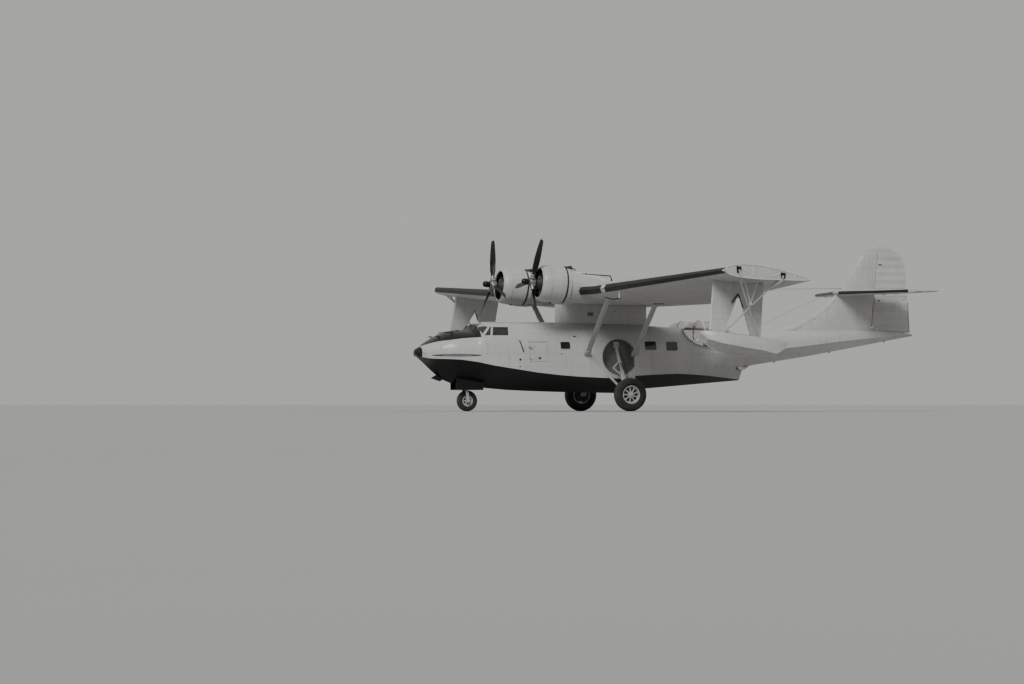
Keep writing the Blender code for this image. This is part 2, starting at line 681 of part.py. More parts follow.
def ellipsoid(side, grow=0.0, rings=9, segments=14):
    """One side's blister as rings of an ellipsoid whose poles lie fore and aft, fuller in front."""
    centre = (BLISTER_CENTRE[0], side * BLISTER_CENTRE[1], BLISTER_CENTRE[2])
    radii = BLISTER_RADII
    angle = np.linspace(0.12, np.pi - 0.12, rings)
    around = np.linspace(0, 2 * np.pi, segments, endpoint=False)
    shapes = []
    for a in angle:
        station = centre[0] - (radii[0] + grow) * np.cos(a)
        girth = np.sin(a) * (1 + BLISTER_TAPER * np.cos(a))
        y = centre[1] + (radii[1] + grow) * girth * np.cos(around)
        z = centre[2] + (radii[2] + grow) * girth * np.sin(around)
        shapes.append(world(np.column_stack([np.full(segments, station), y, z])))
    return shapes


def build_waist():
    """Rear section with its windows and the two blisters."""
    waist = add("hull_waist", hull_shell(AFTERBODY, inset_ends(WAIST_STATIONS)), "skin")
    holes = [loft(ellipsoid(side, -BLISTER_FRAME - BLISTER_LEDGE)) for _, side in SIDES]
    combine(waist, cutter("blister_opening", join(holes)))
    near_hull = cutter("blister_base", hull_solid(AFTERBODY, WAIST_STATIONS, BLISTER_BASE_BAND))
    ribs = [box((station, -3.0, 1.0), (station + BLISTER_RIB_WIDTH, 3.0, 3.2)) for station in BLISTER_RIBS]
    combine(near_hull, cutter("blister_rib", join(ribs)), "UNION")
    seat = cutter("blister_seat", hull_solid(AFTERBODY, WAIST_STATIONS, SEAT))
    for word, side in SIDES:
        frame = add("blister_frame_" + word, loft(ellipsoid(side)), "skin")
        combine(frame, cutter("frame_inside_" + word, loft(ellipsoid(side, -BLISTER_FRAME))))
        combine(frame, near_hull, "INTERSECT")
        combine(frame, seat)
        liner = -BLISTER_FRAME - GLASS_GAP
        glass = add("blister_glass_" + word, loft(ellipsoid(side, liner)), "glass")
        combine(glass, cutter("glass_inside_" + word, loft(ellipsoid(side, liner - GLASS))))
        combine(glass, seat)


def build_tail_cone():
    stations = inset_ends(TAIL_STATIONS)
    stations[-1] = LENGTH
    inner = [s for s in stations if s < 19.0]
    outer = [hull_ring(TAIL, s, keel=True) for s in stations]
    hollow_rings = [hull_ring(TAIL, s, -SKIN, keel=True) for s in inner]
    add("hull_tail", sleeve(outer, hollow_rings, capped=True), "skin")


def half_thickness(fractions):
    """Half-thickness at chord fractions as a share of the full thickness: the four-digit formula."""
    return BLUNT_EDGE * fractions + 5 * (
        0.2969 * np.sqrt(fractions) - 0.1260 * fractions - 0.3516 * fractions**2
        + 0.2843 * fractions**3 - 0.1036 * fractions**4)


def section(end=1.0):
    """Chord fractions from the rear over the top and back below, and the side they lie on."""
    angle = np.linspace(0, np.pi, SECTION_STEPS)
    upper = end * (1 + np.cos(angle)) / 2
    fractions = np.concatenate([upper, upper[::-1][1:]])
    sign = np.concatenate([np.ones(SECTION_STEPS - 1), [0], -np.ones(SECTION_STEPS - 1)])
    return fractions, sign


def wing_at(y):
    """Leading edge station and height, chord and thickness ratio at a distance from the centre."""
    share = np.clip((abs(y) - CENTRE_HALF) / (SEMISPAN - CENTRE_HALF), 0, 1)
    return (
        ROOT_EDGE[0] + TIP_SWEEP * share,
        ROOT_EDGE[1] + TIP_RISE * share,
        ROOT_CHORD + (TIP_CHORD - ROOT_CHORD) * share,
        ROOT_THICKNESS + (TIP_THICKNESS - ROOT_THICKNESS) * share,
    )


def wing_points(y, fractions, halves, grow=0.0):
    """Points of the wing at chord fractions; halves is the half-thickness with its sign."""
    edge, height, chord, ratio = wing_at(y)
    camber = 4 * CAMBER * fractions * (1 - fractions)
    up = chord * (camber + ratio * halves) + grow * np.sign(halves)
    along = chord * fractions
    station = edge + along * np.cos(INCIDENCE) + up * np.sin(INCIDENCE)
    z = height - along * np.sin(INCIDENCE) + up * np.cos(INCIDENCE)
    return world(np.column_stack([station, np.full(len(station), y), z]))


def wing_ring(y, end=1.0, grow=0.0):
    fractions, sign = section(end)
    return wing_points(y, fractions, half_thickness(fractions) * sign, grow)


def wing_inner_ring(y, end=1.0):
    """The wing's inner wall: the same section drawn in from every edge."""
    _, _, chord, ratio = wing_at(y)
    wall = WING_WALL / chord
    fractions, sign = section(end)
    rear_walls = 1.0 if end < 1 else SHARP_EDGE_WALLS
    inside = wall * NOSE_WALLS + fractions * (end - wall * (NOSE_WALLS + rear_walls)) / end
    half = half_thickness(inside)
    thin = np.maximum(half - wall / ratio, LEAST_HOLLOW * half)
    return wing_points(y, inside, thin * sign)


def build_wing():
    """Wing in three pieces, with ailerons and the fixed trailing edge inboard of them."""
    ends = (-CENTRE_HALF + SEAT, CENTRE_HALF - SEAT)
    add("wing_centre", sleeve([wing_ring(y) for y in ends], [wing_inner_ring(y) for y in ends]), "skin")
    for word, side in SIDES:
        ys = [CENTRE_HALF + SEAT, SEMISPAN]
        outer = [wing_ring(side * y, HINGE_FRACTION) for y in ys]
        inner = [wing_inner_ring(side * y, HINGE_FRACTION) for y in (ys[0], SEMISPAN - WING_WALL)]
        panel = add("wing_outer_" + word, sleeve(outer, inner, capped=True), "skin")
        rear = [trailing_ring(side * y) for y in (CENTRE_HALF + SEAT, AILERON_START - TIP_GAP)]
        tip = [trailing_ring(side * y) for y in (AILERON_END + TIP_GAP, SEMISPAN)]
        combine(panel, cutter("trailing_edge_" + word, join([loft(rear), loft(tip)])), "UNION")
        build_aileron(word, side)


def trailing_ring(y):
    """The fixed part of the section behind the rear spar, as a closed wedge."""
    overlap = WING_WALL / 2 / wing_at(y)[2]
    steps = np.array([HINGE_FRACTION - overlap, (HINGE_FRACTION + 1) / 2, 1.0])
    shape = half_thickness(steps)
    upper = wing_points(y, steps, shape)
    lower = wing_points(y, steps[::-1], -shape[::-1])
    return np.concatenate([upper, lower])


def aileron_hinge(y):
    """Point on the aileron's hinge line, and the radius of its nose."""
    _, _, chord, ratio = wing_at(y)
    radius = chord * ratio * half_thickness(HINGE_FRACTION) * AILERON_NOSE_SHARE
    fraction = HINGE_FRACTION + (radius + SWING_GAP) / chord
    middle = wing_points(y, np.array([fraction]), np.array([0.0]))[0]
    return middle, radius, fraction


def aileron_ring(y):
    middle, radius, fraction = aileron_hinge(y)
    steps = np.array([fraction + AILERON_NOSE_BLEND, 1.0])
    shape = half_thickness(steps)
    upper = wing_points(y, steps, shape)
    lower = wing_points(y, steps[::-1], -shape[::-1])
    angle = np.linspace(0.5 * np.pi, 1.5 * np.pi, NOSE_STEPS + 1)
    tilt = INCIDENCE
    forward = np.cos(angle) * radius
    up = np.sin(angle) * radius
    nose = np.column_stack([
        middle[0] - (forward * np.cos(tilt) + up * np.sin(tilt)),
        np.full(len(angle), y),
        middle[2] - forward * np.sin(tilt) + up * np.cos(tilt)])
    return np.concatenate([upper[::-1], nose, lower[::-1]])


def build_aileron(word, side):
    rings = [aileron_ring(side * y) for y in (AILERON_START, AILERON_END)]
    pivot, outer = (aileron_hinge(side * y)[0] for y in (AILERON_START, AILERON_END))
    made = add("aileron_" + word, loft(rings), "skin", pivot)
    along = (outer - pivot) / np.linalg.norm(outer - pivot)
    lean = np.hypot(along[0], along[2]) / abs(along[1])
    reach = TIP_GAP - SEAT - HINGE_PIN * lean
    combine(made, cutter("aileron_pins_" + word, rod(
        pivot - along * reach, outer + along * reach, HINGE_PIN, 8)), "UNION")


def build_pylon():
    """Streamlined pylon between the hull's top and the wing."""
    angle = np.linspace(0, 2 * np.pi, 20, endpoint=False)
    share = (1 - np.cos(angle)) / 2
    y = PYLON_HALF_WIDTH * np.sin(angle) * (1.25 - 0.5 * share)
    station = PYLON_FRONT + PYLON_LENGTH * share
    top = ROOT_EDGE[1] - (station - ROOT_EDGE[0]) * np.tan(INCIDENCE)
    rings = [world(np.column_stack([station, y, z])) for z in (np.full(len(y), PYLON_BOTTOM), top)]
    pylon = add("pylon", loft(rings), "skin")
    combine(pylon, cutter("pylon_foot", hull_solid(FOREBODY, CABIN_STATIONS, SEAT)))
    combine(pylon, cutter("pylon_foot_rear", hull_solid(AFTERBODY, WAIST_STATIONS, SEAT)))
    combine(pylon, wing_cutter("pylon_head", NACELLE_Y))


def wing_cutter(name, reach):
    return cutter(name, loft([wing_ring(y, grow=SEAT) for y in (-reach, reach)]))


def strut_shape(foot, head, chord, thickness, segments=12):
    """A streamlined bar between two points, its chord along the aircraft."""
    angle = np.linspace(0, 2 * np.pi, segments, endpoint=False)
    rings = []
    for point in (foot, head):
        centre = world([point])[0]
        rings.append(centre + np.column_stack([
            chord / 2 * np.cos(angle), thickness / 2 * np.sin(angle), np.zeros(segments)]))
    return loft(rings)


def build_wing_struts():
    """Front and rear strut on each side, from the hull's side to the wing."""
    hull_fore = cutter("strut_foot", hull_solid(FOREBODY, CABIN_STATIONS, SEAT))
    hull_aft = cutter("strut_foot_rear", hull_solid(AFTERBODY, WAIST_STATIONS, SEAT))
    wing = wing_cutter("strut_head", CENTRE_HALF)
    for word, side in SIDES:
        for place, (low, high) in zip(("front", "rear"), STRUT_STATIONS):
            foot = (low, side * STRUT_Y[0], STRUT_HEIGHTS[0])
            head = (high, side * STRUT_Y[1], STRUT_HEIGHTS[1])
            shape = strut_shape(foot, head, STRUT_CHORD, STRUT_THICKNESS)
            made = add("wing_strut_%s_%s" % (place, word), shape, "grey")
            combine(made, hull_fore)
            combine(made, hull_aft)
            combine(made, wing)


def thrust_frame(side):
    """Hub centre and the forward direction of one engine."""
    centre = world([(HUB[0], side * NACELLE_Y, HUB[1])])[0]
    return centre, np.array([np.cos(THRUST_TILT), 0.0, np.sin(THRUST_TILT)])


def build_power(word, side):
    """Nacelle, cowl, engine, propeller blades and hub of one side."""
    centre, forward = thrust_frame(side)
    up = np.array([-np.sin(THRUST_TILT), 0.0, np.cos(THRUST_TILT)])
    angle = np.linspace(0, 2 * np.pi, 24, endpoint=False)
    rings = []
    for back, drop, half_width, half_height in NACELLE_FORM:
        middle = centre + back * forward - drop * up
        rings.append(middle + np.outer(np.cos(angle) * half_width, (0, 1, 0)) + np.outer(
            np.sin(angle) * half_height, up))
    nacelle = add("nacelle_" + word, loft(rings), "skin")
    combine(nacelle, wing_cutter("nacelle_seat_" + word, (NACELLE_Y + CENTRE_HALF) / 2))

    lip = ((COWL_FRONT - 0.10, COWL_RADIUS - COWL_WALL - 0.03), (COWL_FRONT - 0.03, LIP_RADIUS + 0.02),
           (COWL_FRONT, LIP_RADIUS + 0.045), (COWL_FRONT - 0.03, COWL_RADIUS - 0.075),
           (COWL_FRONT - 0.15, COWL_RADIUS - 0.015), (COWL_FRONT - 0.32, COWL_RADIUS))
    inside, flange = COWL_RADIUS - COWL_WALL, NACELLE_FORM[0][2] + SEAT
    flange_front = COWL_FLANGE_BACK + COWL_FLANGE_WIDTH
    tail = ((COWL_BACK + 0.20, COWL_RADIUS), (COWL_BACK, COWL_RADIUS - 0.01), (COWL_BACK, inside - 0.01),
            (COWL_FLANGE_BACK, inside), (COWL_FLANGE_BACK, flange), (flange_front, flange),
            (flange_front, inside))
    add("cowl_" + word, turned(lip + tail, centre, forward, closed=True), "skin")
    build_engine(word, centre, forward)
    build_propeller(word, centre, forward, up)


def build_engine(word, centre, forward):
    """Two rows of finned cylinders round the crankcase, back to the firewall."""
    front, back = CYLINDER_ROWS
    case = turned((
        (HUB_BACK - SEAT, SHAFT_RADIUS), *GEARBOX_FORM, (-0.40, CASE_RADIUS),
        (FIREWALL + SEAT, CASE_RADIUS)), centre, forward, 2 * CYLINDERS_PER_ROW)
    shapes = []
    _, across, up = basis(forward)
    base = CASE_RADIUS - 0.03
    pitch = (CYLINDER_TOP - base) / (2 * FINS)
    profile = []
    for fin in range(FINS):
        start = base + 2 * fin * pitch
        profile += [(start, CYLINDER_RADIUS - FIN_DEPTH), (start + pitch, CYLINDER_RADIUS - FIN_DEPTH),
                    (start + pitch, CYLINDER_RADIUS), (start + 2 * pitch, CYLINDER_RADIUS)]
    for row, along in enumerate((front, back)):
        for index in range(CYLINDERS_PER_ROW):
            turn = 2 * np.pi * (index + row / 2) / CYLINDERS_PER_ROW + np.pi / 2
            out = np.cos(turn) * across + np.sin(turn) * up
            shapes.append(turned(profile, centre + along * forward, out, 8))
    made = add("engine_" + word, case, "metal")
    combine(made, cutter("cylinder_" + word, join(shapes)), "UNION")


def build_propeller(word, centre, forward, up):
    """Three twisted blades on a hub with a long dome; one body that turns about the thrust line."""
    right = np.cross(forward, up)
    blades = []
    for blade in range(BLADES):
        turn = BLADE_PHASES[np.sign(centre[1])] + 2 * np.pi * blade / BLADES
        out = np.cos(turn) * up - np.sin(turn) * right
        side = np.cross(forward, out)
        rings = []
        for share, chord, thick, pitch in BLADE_FORM:
            angle = np.linspace(0, 2 * np.pi, 8, endpoint=False)
            pitch = np.radians(pitch)
            along = chord / 2 * np.cos(angle)
            flat = thick / 2 * np.sin(angle)
            chordwise = np.cos(pitch) * side + np.sin(pitch) * forward
            normal = -np.sin(pitch) * side + np.cos(pitch) * forward
            rings.append(centre + share * PROPELLER_RADIUS * out
                         + np.outer(along, chordwise) + np.outer(flat, normal))
        blades.append(loft(rings))
    profile = (
        (HUB_BACK, 0.06), (HUB_BACK + 0.03, HUB_RADIUS), (0.10, HUB_RADIUS), (0.13, 0.10), (0.18, 0.085),
        (DOME_LENGTH - 0.10, 0.08), (DOME_LENGTH - 0.02, 0.055), (DOME_LENGTH, 0.02))
    made = add("propeller_" + word, turned(profile, centre, forward, 16), "black", centre)
    combine(made, cutter("blade_" + word, join(blades)), "UNION")


def float_ring(station, side):
    _, keel, chine, half, deck = at(FLOAT_FORM, station)
    crown = half * 0.72
    points = [
        (station, 0, keel), (station, half, chine), (station, half * 0.96, (chine + deck) / 2),
        (station, crown, deck - 0.10 * half), (station, 0, deck),
        (station, -crown, deck - 0.10 * half), (station, -half * 0.96, (chine + deck) / 2),
        (station, -half, chine)]
    ring = world(points)
    ring[:, 1] += side * FLOAT_Y
    return ring


def build_float(word, side):
    """Wing-tip float, its sloping panel and the crossed braces to the wing's end rib."""
    stations = [row[0] for row in FLOAT_FORM]
    add("float_" + word, loft([float_ring(s, side) for s in stations]), "skin")
    panel = add("float_panel_" + word, panel_shape(PANEL_OUTLINE, side, FLOAT_PANEL_THICKNESS), "skin")
    combine(panel, cutter("panel_opening_" + word, panel_shape(PANEL_OPENING, side, 0.5)))
    hull = cutter("float_seat_" + word, grown_float(side))
    combine(panel, hull)
    combine(panel, tip_cutter("panel_head_" + word, side))
    braces = []
    for top, foot in FLOAT_BRACES:
        high = spot(top[0], side * FLOAT_BRACE_Y[0], top[1])
        low = spot(foot[0], side * FLOAT_BRACE_Y[1], foot[1])
        braces.append(rod(low, high, FLOAT_STRUT_RADIUS))
    made = add("float_struts_" + word, braces[0], "metal")
    combine(made, cutter("float_brace_" + word, braces[1]), "UNION")
    combine(made, hull)
    combine(made, bpy.data.objects["panel_head_" + word + "_cutter"])


def panel_shape(outline, side, thickness):
    """A plate that leans outwards from the wing down to the float."""
    top, foot = PANEL_OUTLINE[1][1], PANEL_OUTLINE[0][1]
    rings = []
    for half in (-thickness / 2, thickness / 2):
        points = []
        for station, z in outline:
            lean = (z - foot) / (top - foot)
            y = FLOAT_Y + (PANEL_TOP_Y - FLOAT_Y) * lean + half
            points.append((station, side * y, z))
        rings.append(world(points))
    return loft(rings)


def grown_float(side):
    rings = []
    for row in FLOAT_FORM:
        ring = float_ring(row[0], side)
        middle = ring.mean(axis=0)
        ring[:, 1:] += SEAT * np.sign(ring[:, 1:] - middle[1:])
        rings.append(ring)
    return loft(rings)


def tip_cutter(name, side):
    return cutter(name, loft([wing_ring(side * y, HINGE_FRACTION, SEAT) for y in (CENTRE_HALF, SEMISPAN)]))


def build_tail_surfaces():
    """Fin, rudder with its horn, tailplane and the two elevators."""
    low = RUDDER_HINGE[0]
    high = RUDDER_HINGE[1]
    fin = add("fin", fin_shape(), "skin")
    foot = rudder_hinge_station(RUDDER_BOTTOM)
    bracket_top = RUDDER_BOTTOM - RUDDER_FOOT_GAP
    bracket = box((foot - 0.20, -RUDDER_BRACKET, low[1]), (foot + 0.04, RUDDER_BRACKET, bracket_top))
    combine(fin, cutter("rudder_bracket", bracket), "UNION")
    combine(fin, cutter("fin_foot", hull_solid(TAIL, TAIL_STATIONS, SEAT, keel=True)))
    notch = TORQUE_TUBE + SEAT
    combine(fin, cutter("torque_tube_notch", box(
        (ELEVATOR_HINGE - notch, -1.0, STABILIZER_HEIGHT - notch),
        (ELEVATOR_HINGE + 1.0, 1.0, STABILIZER_HEIGHT + notch))))

    rudder = add("rudder", rudder_shape(), "skin", spot(low[0], 0, low[1]))
    lean = (high[0] - low[0]) / (high[1] - low[1])
    pin_end = bracket_top + SEAT + HINGE_PIN * lean
    combine(rudder, cutter("rudder_pin", rod(
        spot(rudder_hinge_station(pin_end), 0, pin_end),
        spot(rudder_hinge_station(RUDDER_BOTTOM + 0.1), 0, RUDDER_BOTTOM + 0.1), HINGE_PIN, 8)), "UNION")
    build_tailplane()


def fin_shape(grow=0.0):
    """Fin in horizontal slices, from inside the hull to the rudder's horn."""
    edge = np.array(FIN_EDGE)
    rings = []
    for station, z in FIN_EDGE:
        rear = rudder_hinge_station(z) - RUDDER_NOSE - SWING_GAP
        half = np.interp(z, edge[[0, -1], 1], FIN_HALF) + grow
        outline = surface_section(station - grow, rear + grow, half, FIN_REAR_HALF + grow)
        rings.append(world([(s, offset, z) for s, offset in outline]))
    return loft(rings)


def surface_section(front, rear, half, rear_half):
    """Slice of a tail surface, round at its front and blunt at its rear, as station and offset."""
    share = np.array([0.0, 0.03, 0.12, 0.35, 0.7, 1.0])
    station = front + (rear - front) * share
    offset = np.array([0.0, 0.45 * half, 0.80 * half, half, (half + rear_half) / 2, rear_half])
    return list(zip(station, offset))[::-1] + list(zip(station, -offset))[1:]


def rudder_hinge_station(z):
    low, high = RUDDER_HINGE
    return low[0] + (high[0] - low[0]) * (z - low[1]) / (high[1] - low[1])


def rudder_shape():
    """Rudder in horizontal slices from its foot to the horn's top; its nose is round."""
    edge = np.array(RUDDER_OUTLINE)
    rings = []
    for z in (RUDDER_BOTTOM, 3.2, 4.0, 4.84, FIN_TOP + 0.02, FIN_TOP + 0.0201, 5.27, 5.42, 5.487):
        hinge = rudder_hinge_station(z)
        rear = np.interp(z, edge[:, 1][::-1][:6], edge[:, 0][::-1][:6])
        horn = z > FIN_TOP + 0.02
        if horn:
            front = np.interp(z, edge[:4, 1], edge[:4, 0])
        else:
            front = hinge - RUDDER_NOSE
        thick = RUDDER_NOSE * (1.0 if z < 5.3 else 0.6)
        rings.append(slice_ring(front, hinge, rear, z, thick))
    return loft(rings)


def slice_ring(front, hinge, rear, z, half):
    """A flat teardrop slice from the front point past the hinge to the rear edge."""
    nose = np.linspace(0.5 * np.pi, 1.5 * np.pi, NOSE_STEPS + 1)
    if hinge - front > RUDDER_NOSE * 1.5:
        reach = hinge - front
    else:
        reach = half
    points = [(hinge + reach * np.cos(a), half * np.sin(a), z) for a in nose]
    points += [(rear, -0.008, z), (rear, 0.008, z)]
    return world(points)


def build_tailplane():
    """A tailplane half on each side of the fin, and the elevators on one torque tube."""
    fin_seat = cutter("fin_seat", fin_shape(SEAT))
    edge = np.array(STABILIZER_EDGE)
    for word, side in SIDES:
        rings = []
        for y in edge[:, 0]:
            front = np.interp(y, edge[:, 0], edge[:, 1])
            half = STABILIZER_THICKNESS / 2 * tail_taper(y)
            rear_half = ELEVATOR_NOSE * 1.05 * tail_taper(y)
            outline = surface_section(front, ELEVATOR_HINGE - ELEVATOR_NOSE - SWING_GAP, half, rear_half)
            rings.append(world([(s, side * y, STABILIZER_HEIGHT + offset) for s, offset in outline]))
        half = add("stabilizer_" + word, loft(rings), "skin")
        combine(half, fin_seat)
    outline = np.array(ELEVATOR_EDGE)
    tube_end = ELEVATOR_ROOT + 0.10
    tube_ends = [spot(ELEVATOR_HINGE, end, STABILIZER_HEIGHT) for end in (-tube_end, tube_end)]
    tube = rod(*tube_ends, TORQUE_TUBE)
    shapes = []
    for _, side in SIDES:
        rings = []
        for y in (ELEVATOR_ROOT, 0.80, 2.60, 3.60, 4.25, 4.62):
            rear = np.interp(y, outline[:, 0], outline[:, 1])
            rings.append(elevator_ring(side * y, rear, tail_taper(y)))
        shapes.append(loft(rings))
    made = add("elevators", tube, "skin", spot(ELEVATOR_HINGE, 0, STABILIZER_HEIGHT))
    combine(made, cutter("elevator", join(shapes)), "UNION")


def tail_taper(y):
    """Thickness at a distance from the centre, as a share of the thickness there."""
    return 1 - TAIL_TAPER * y / ELEVATOR_EDGE[-1][0]


def elevator_ring(y, rear, taper):
    half = ELEVATOR_NOSE * taper
    nose = np.linspace(0.5 * np.pi, 1.5 * np.pi, NOSE_STEPS + 1)
    points = [(ELEVATOR_HINGE + half * np.cos(a), y, STABILIZER_HEIGHT + half * np.sin(a)) for a in nose]
    points += [(rear, y, STABILIZER_HEIGHT - 0.008), (rear, y, STABILIZER_HEIGHT + 0.008)]
    return world(points)


def wheel_shapes(centre, radius, width, rim, bore):
    """Tyre and hub of one wheel, both turned about the axle."""
    half = width / 2
    shoulder = 0.30 * (radius - rim)
    tyre = (
        (-half * 0.62, rim + SEAT), (-half * 0.92, rim + shoulder), (-half, rim + 2 * shoulder),
        (-half * 0.78, radius - shoulder * 0.35), (-half * 0.35, radius), (half * 0.35, radius),
        (half * 0.78, radius - shoulder * 0.35), (half, rim + 2 * shoulder), (half * 0.92, rim + shoulder),
        (half * 0.62, rim + SEAT))
    hub = (
        (-half * 0.66, bore), (-half * 0.66, rim * 0.45), (-half * 0.30, rim * 0.86),
        (-half * 0.60, rim), (half * 0.60, rim),
        (half * 0.30, rim * 0.86), (half * 0.66, rim * 0.45), (half * 0.66, bore))
    axis = (0, 1, 0)
    return turned(tyre, centre, axis, ROUND, closed=True), turned(hub, centre, axis, ROUND, closed=True)


def build_main_gear(word, side):
    """Wheel, hub and the fixed leg of one side."""
    height = MAIN_RADIUS - KEEL_HEIGHT
    centre = np.array(spot(MAIN_STATION, side * MAIN_Y, height))
    bore = 0.06
    tyre, hub = wheel_shapes(centre, MAIN_RADIUS, MAIN_WIDTH, MAIN_RIM, bore)
    add("main_tyre_" + word, tyre, "tyre", centre)
    add("main_hub_" + word, hub, "metal", centre)
    inner_y = MAIN_Y - MAIN_WIDTH / 2 - 0.12
    axle_out = centre + np.array([0, side * (MAIN_WIDTH / 2 * 0.66), 0])
    knuckle = np.array(spot(MAIN_STATION, side * inner_y, height))
    axle = rod(knuckle - np.array([0, side * 0.07, 0]), axle_out, bore * np.cos(np.pi / ROUND) - SEAT, 16)
    leg = add("main_gear_leg_" + word, axle, "grey")
    block_y = WELL_FLOOR_Y + WELL_WALL + SEAT
    well = np.array(spot(MAIN_STATION, side * (block_y + MAIN_BLOCK / 2), MAIN_LEG_TOP))
    half = MAIN_BLOCK * 0.9
    parts = [rod(knuckle, well, 0.065, 12), rod(knuckle, knuckle + (well - knuckle) * 0.45, 0.09, 12), box(
        (MAIN_STATION - half, side * block_y, MAIN_LEG_TOP - half),
        (MAIN_STATION + half, side * (block_y + MAIN_BLOCK), MAIN_LEG_TOP + half))]
    for number, shape in enumerate(parts):
        combine(leg, cutter("leg_bar_%s_%d" % (word, number), shape), "UNION")
    side_seat = cutter("brace_seat_" + word, hull_solid(FOREBODY, inset_ends(CABIN_STATIONS), SEAT))
    for place, station in (("front", MAIN_STATION - 0.50), ("rear", MAIN_STATION + 0.42)):
        _, _, chine_z, chine_half, _, _, _ = at(FOREBODY, station)
        foot = spot(station, side * (chine_half - 0.06), chine_z + 0.17)
        brace = cutter("leg_brace_%s_%s" % (place, word), rod(knuckle, foot, 0.045, 10))
        combine(brace, side_seat)
        combine(leg, brace, "UNION")


def build_nose_gear():
    """Fixed oleo leg, swivelling fork, wheel and bay doors."""
    height = NOSE_RADIUS - KEEL_HEIGHT
    centre = np.array(spot(NOSE_WHEEL_STATION, 0, height))
    bore = 0.035
    tyre, hub = wheel_shapes(centre, NOSE_RADIUS, NOSE_WIDTH, NOSE_RIM, bore)
    add("nose_tyre", tyre, "tyre", centre)
    add("nose_hub", hub, "metal", centre)
    swivel = NOSE_WHEEL_STATION - 0.08
    crown = NOSE_RADIUS * 2 - KEEL_HEIGHT + 0.06
    top = NOSE_WELL[3]
    post = rod(spot(swivel, 0, crown + 0.13), spot(swivel, 0, top - SEAT), 0.07, 16)
    leg = add("nose_gear_leg", post, "grey")
    brace = rod(spot(swivel, 0, crown + 0.20), spot(NOSE_WELL[0] + 0.12, 0, top - 0.05), 0.035, 12)
    combine(leg, cutter("nose_brace", brace), "UNION")
    fork_half = NOSE_WIDTH / 2 + 0.03
    pivot = spot(swivel, 0, crown + 0.06)
    stem = rod(spot(swivel, 0, crown - 0.02), spot(swivel, 0, crown + 0.13 - SEAT), 0.06, 16)
    fork = add("nose_gear_fork", stem, "grey", pivot)
    yoke = box((swivel - 0.06, -fork_half - 0.05, crown), (swivel + 0.06, fork_half + 0.05, crown + 0.05))
    combine(fork, cutter("fork_crown", yoke), "UNION")
    for word, side in SIDES:
        tine = box(
            (swivel - 0.05, side * fork_half, crown + 0.02),
            (swivel + 0.05, side * (fork_half + 0.05), height - 0.05))
        points = tine[0]
        low = points[:, 2] < height + KEEL_HEIGHT
        points[low, 0] -= 0.08
        combine(fork, cutter("fork_tine_" + word, (points, tine[1])), "UNION")
    out = np.array([0, fork_half + 0.02, 0])
    axle = rod(centre - out, centre + out, bore * np.cos(np.pi / ROUND) - SEAT, 14)
    combine(fork, cutter("nose_axle", axle), "UNION")
    start, end, half, _ = NOSE_WELL
    keel = at(FOREBODY, (start + end) / 2)[1]
    stations = sorted({*BOW_STATIONS, *COCKPIT_STATIONS})
    seat = cutter("door_seat", loft([bottom_ring(FOREBODY, s, SEAT) for s in stations]))
    for word, side in SIDES:
        door = add("nose_door_" + word, box(
            (start + 0.03, side * (half + 0.005), keel + NOSE_DOOR_TOP),
            (end - 0.03, side * (half + 0.03), keel - NOSE_DOOR_DROP)), "skin")
        combine(door, seat)


def main():
    clear_scene()
    build_bow()
    build_bottoms()
    build_cockpit()
    build_cabin()
    build_waist()
    build_tail_cone()
    build_wing()
    build_pylon()
    build_wing_struts()
    for word, side in SIDES:
        build_power(word, side)
        build_float(word, side)
        build_main_gear(word, side)
    build_tail_surfaces()
    build_nose_gear()


main()
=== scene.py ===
"""Looks of a parked twin-engined flying boat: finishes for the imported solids, and the fine pieces on them.

Metres. +X is towards the nose, +Y to port, +Z up, and the wheels stand on z = 0.
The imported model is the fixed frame. Each operator adds one group of pieces to it.
"""

import math

import bpy
import numpy as np
from bpy.props import FloatProperty, FloatVectorProperty, IntProperty, PointerProperty
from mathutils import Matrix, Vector


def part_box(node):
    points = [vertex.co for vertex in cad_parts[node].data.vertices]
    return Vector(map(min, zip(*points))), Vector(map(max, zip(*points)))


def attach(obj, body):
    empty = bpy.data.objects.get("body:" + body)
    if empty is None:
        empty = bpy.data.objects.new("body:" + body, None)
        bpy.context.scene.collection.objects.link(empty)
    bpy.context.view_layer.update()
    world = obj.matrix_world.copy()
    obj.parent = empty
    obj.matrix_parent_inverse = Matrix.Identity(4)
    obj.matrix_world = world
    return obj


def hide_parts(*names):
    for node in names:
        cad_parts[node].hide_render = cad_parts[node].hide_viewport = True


bl_info = {
    "name": "Flying boat looks",
    "version": (1, 0, 0),
    "blender": (4, 5, 0),
    "location": "3D View > Sidebar > Flying boat",
    "description": "Finishes and fine pieces of a parked twin-engined flying boat, and its studio",
    "category": "Object",
}

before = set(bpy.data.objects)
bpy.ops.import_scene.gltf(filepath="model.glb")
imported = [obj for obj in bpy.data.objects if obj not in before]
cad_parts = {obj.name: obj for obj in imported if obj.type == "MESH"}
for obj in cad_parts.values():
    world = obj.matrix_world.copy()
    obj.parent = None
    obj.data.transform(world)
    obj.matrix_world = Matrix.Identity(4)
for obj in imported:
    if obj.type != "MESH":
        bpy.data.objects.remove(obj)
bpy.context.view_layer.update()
SIDES = (("left", 1.0), ("right", -1.0))

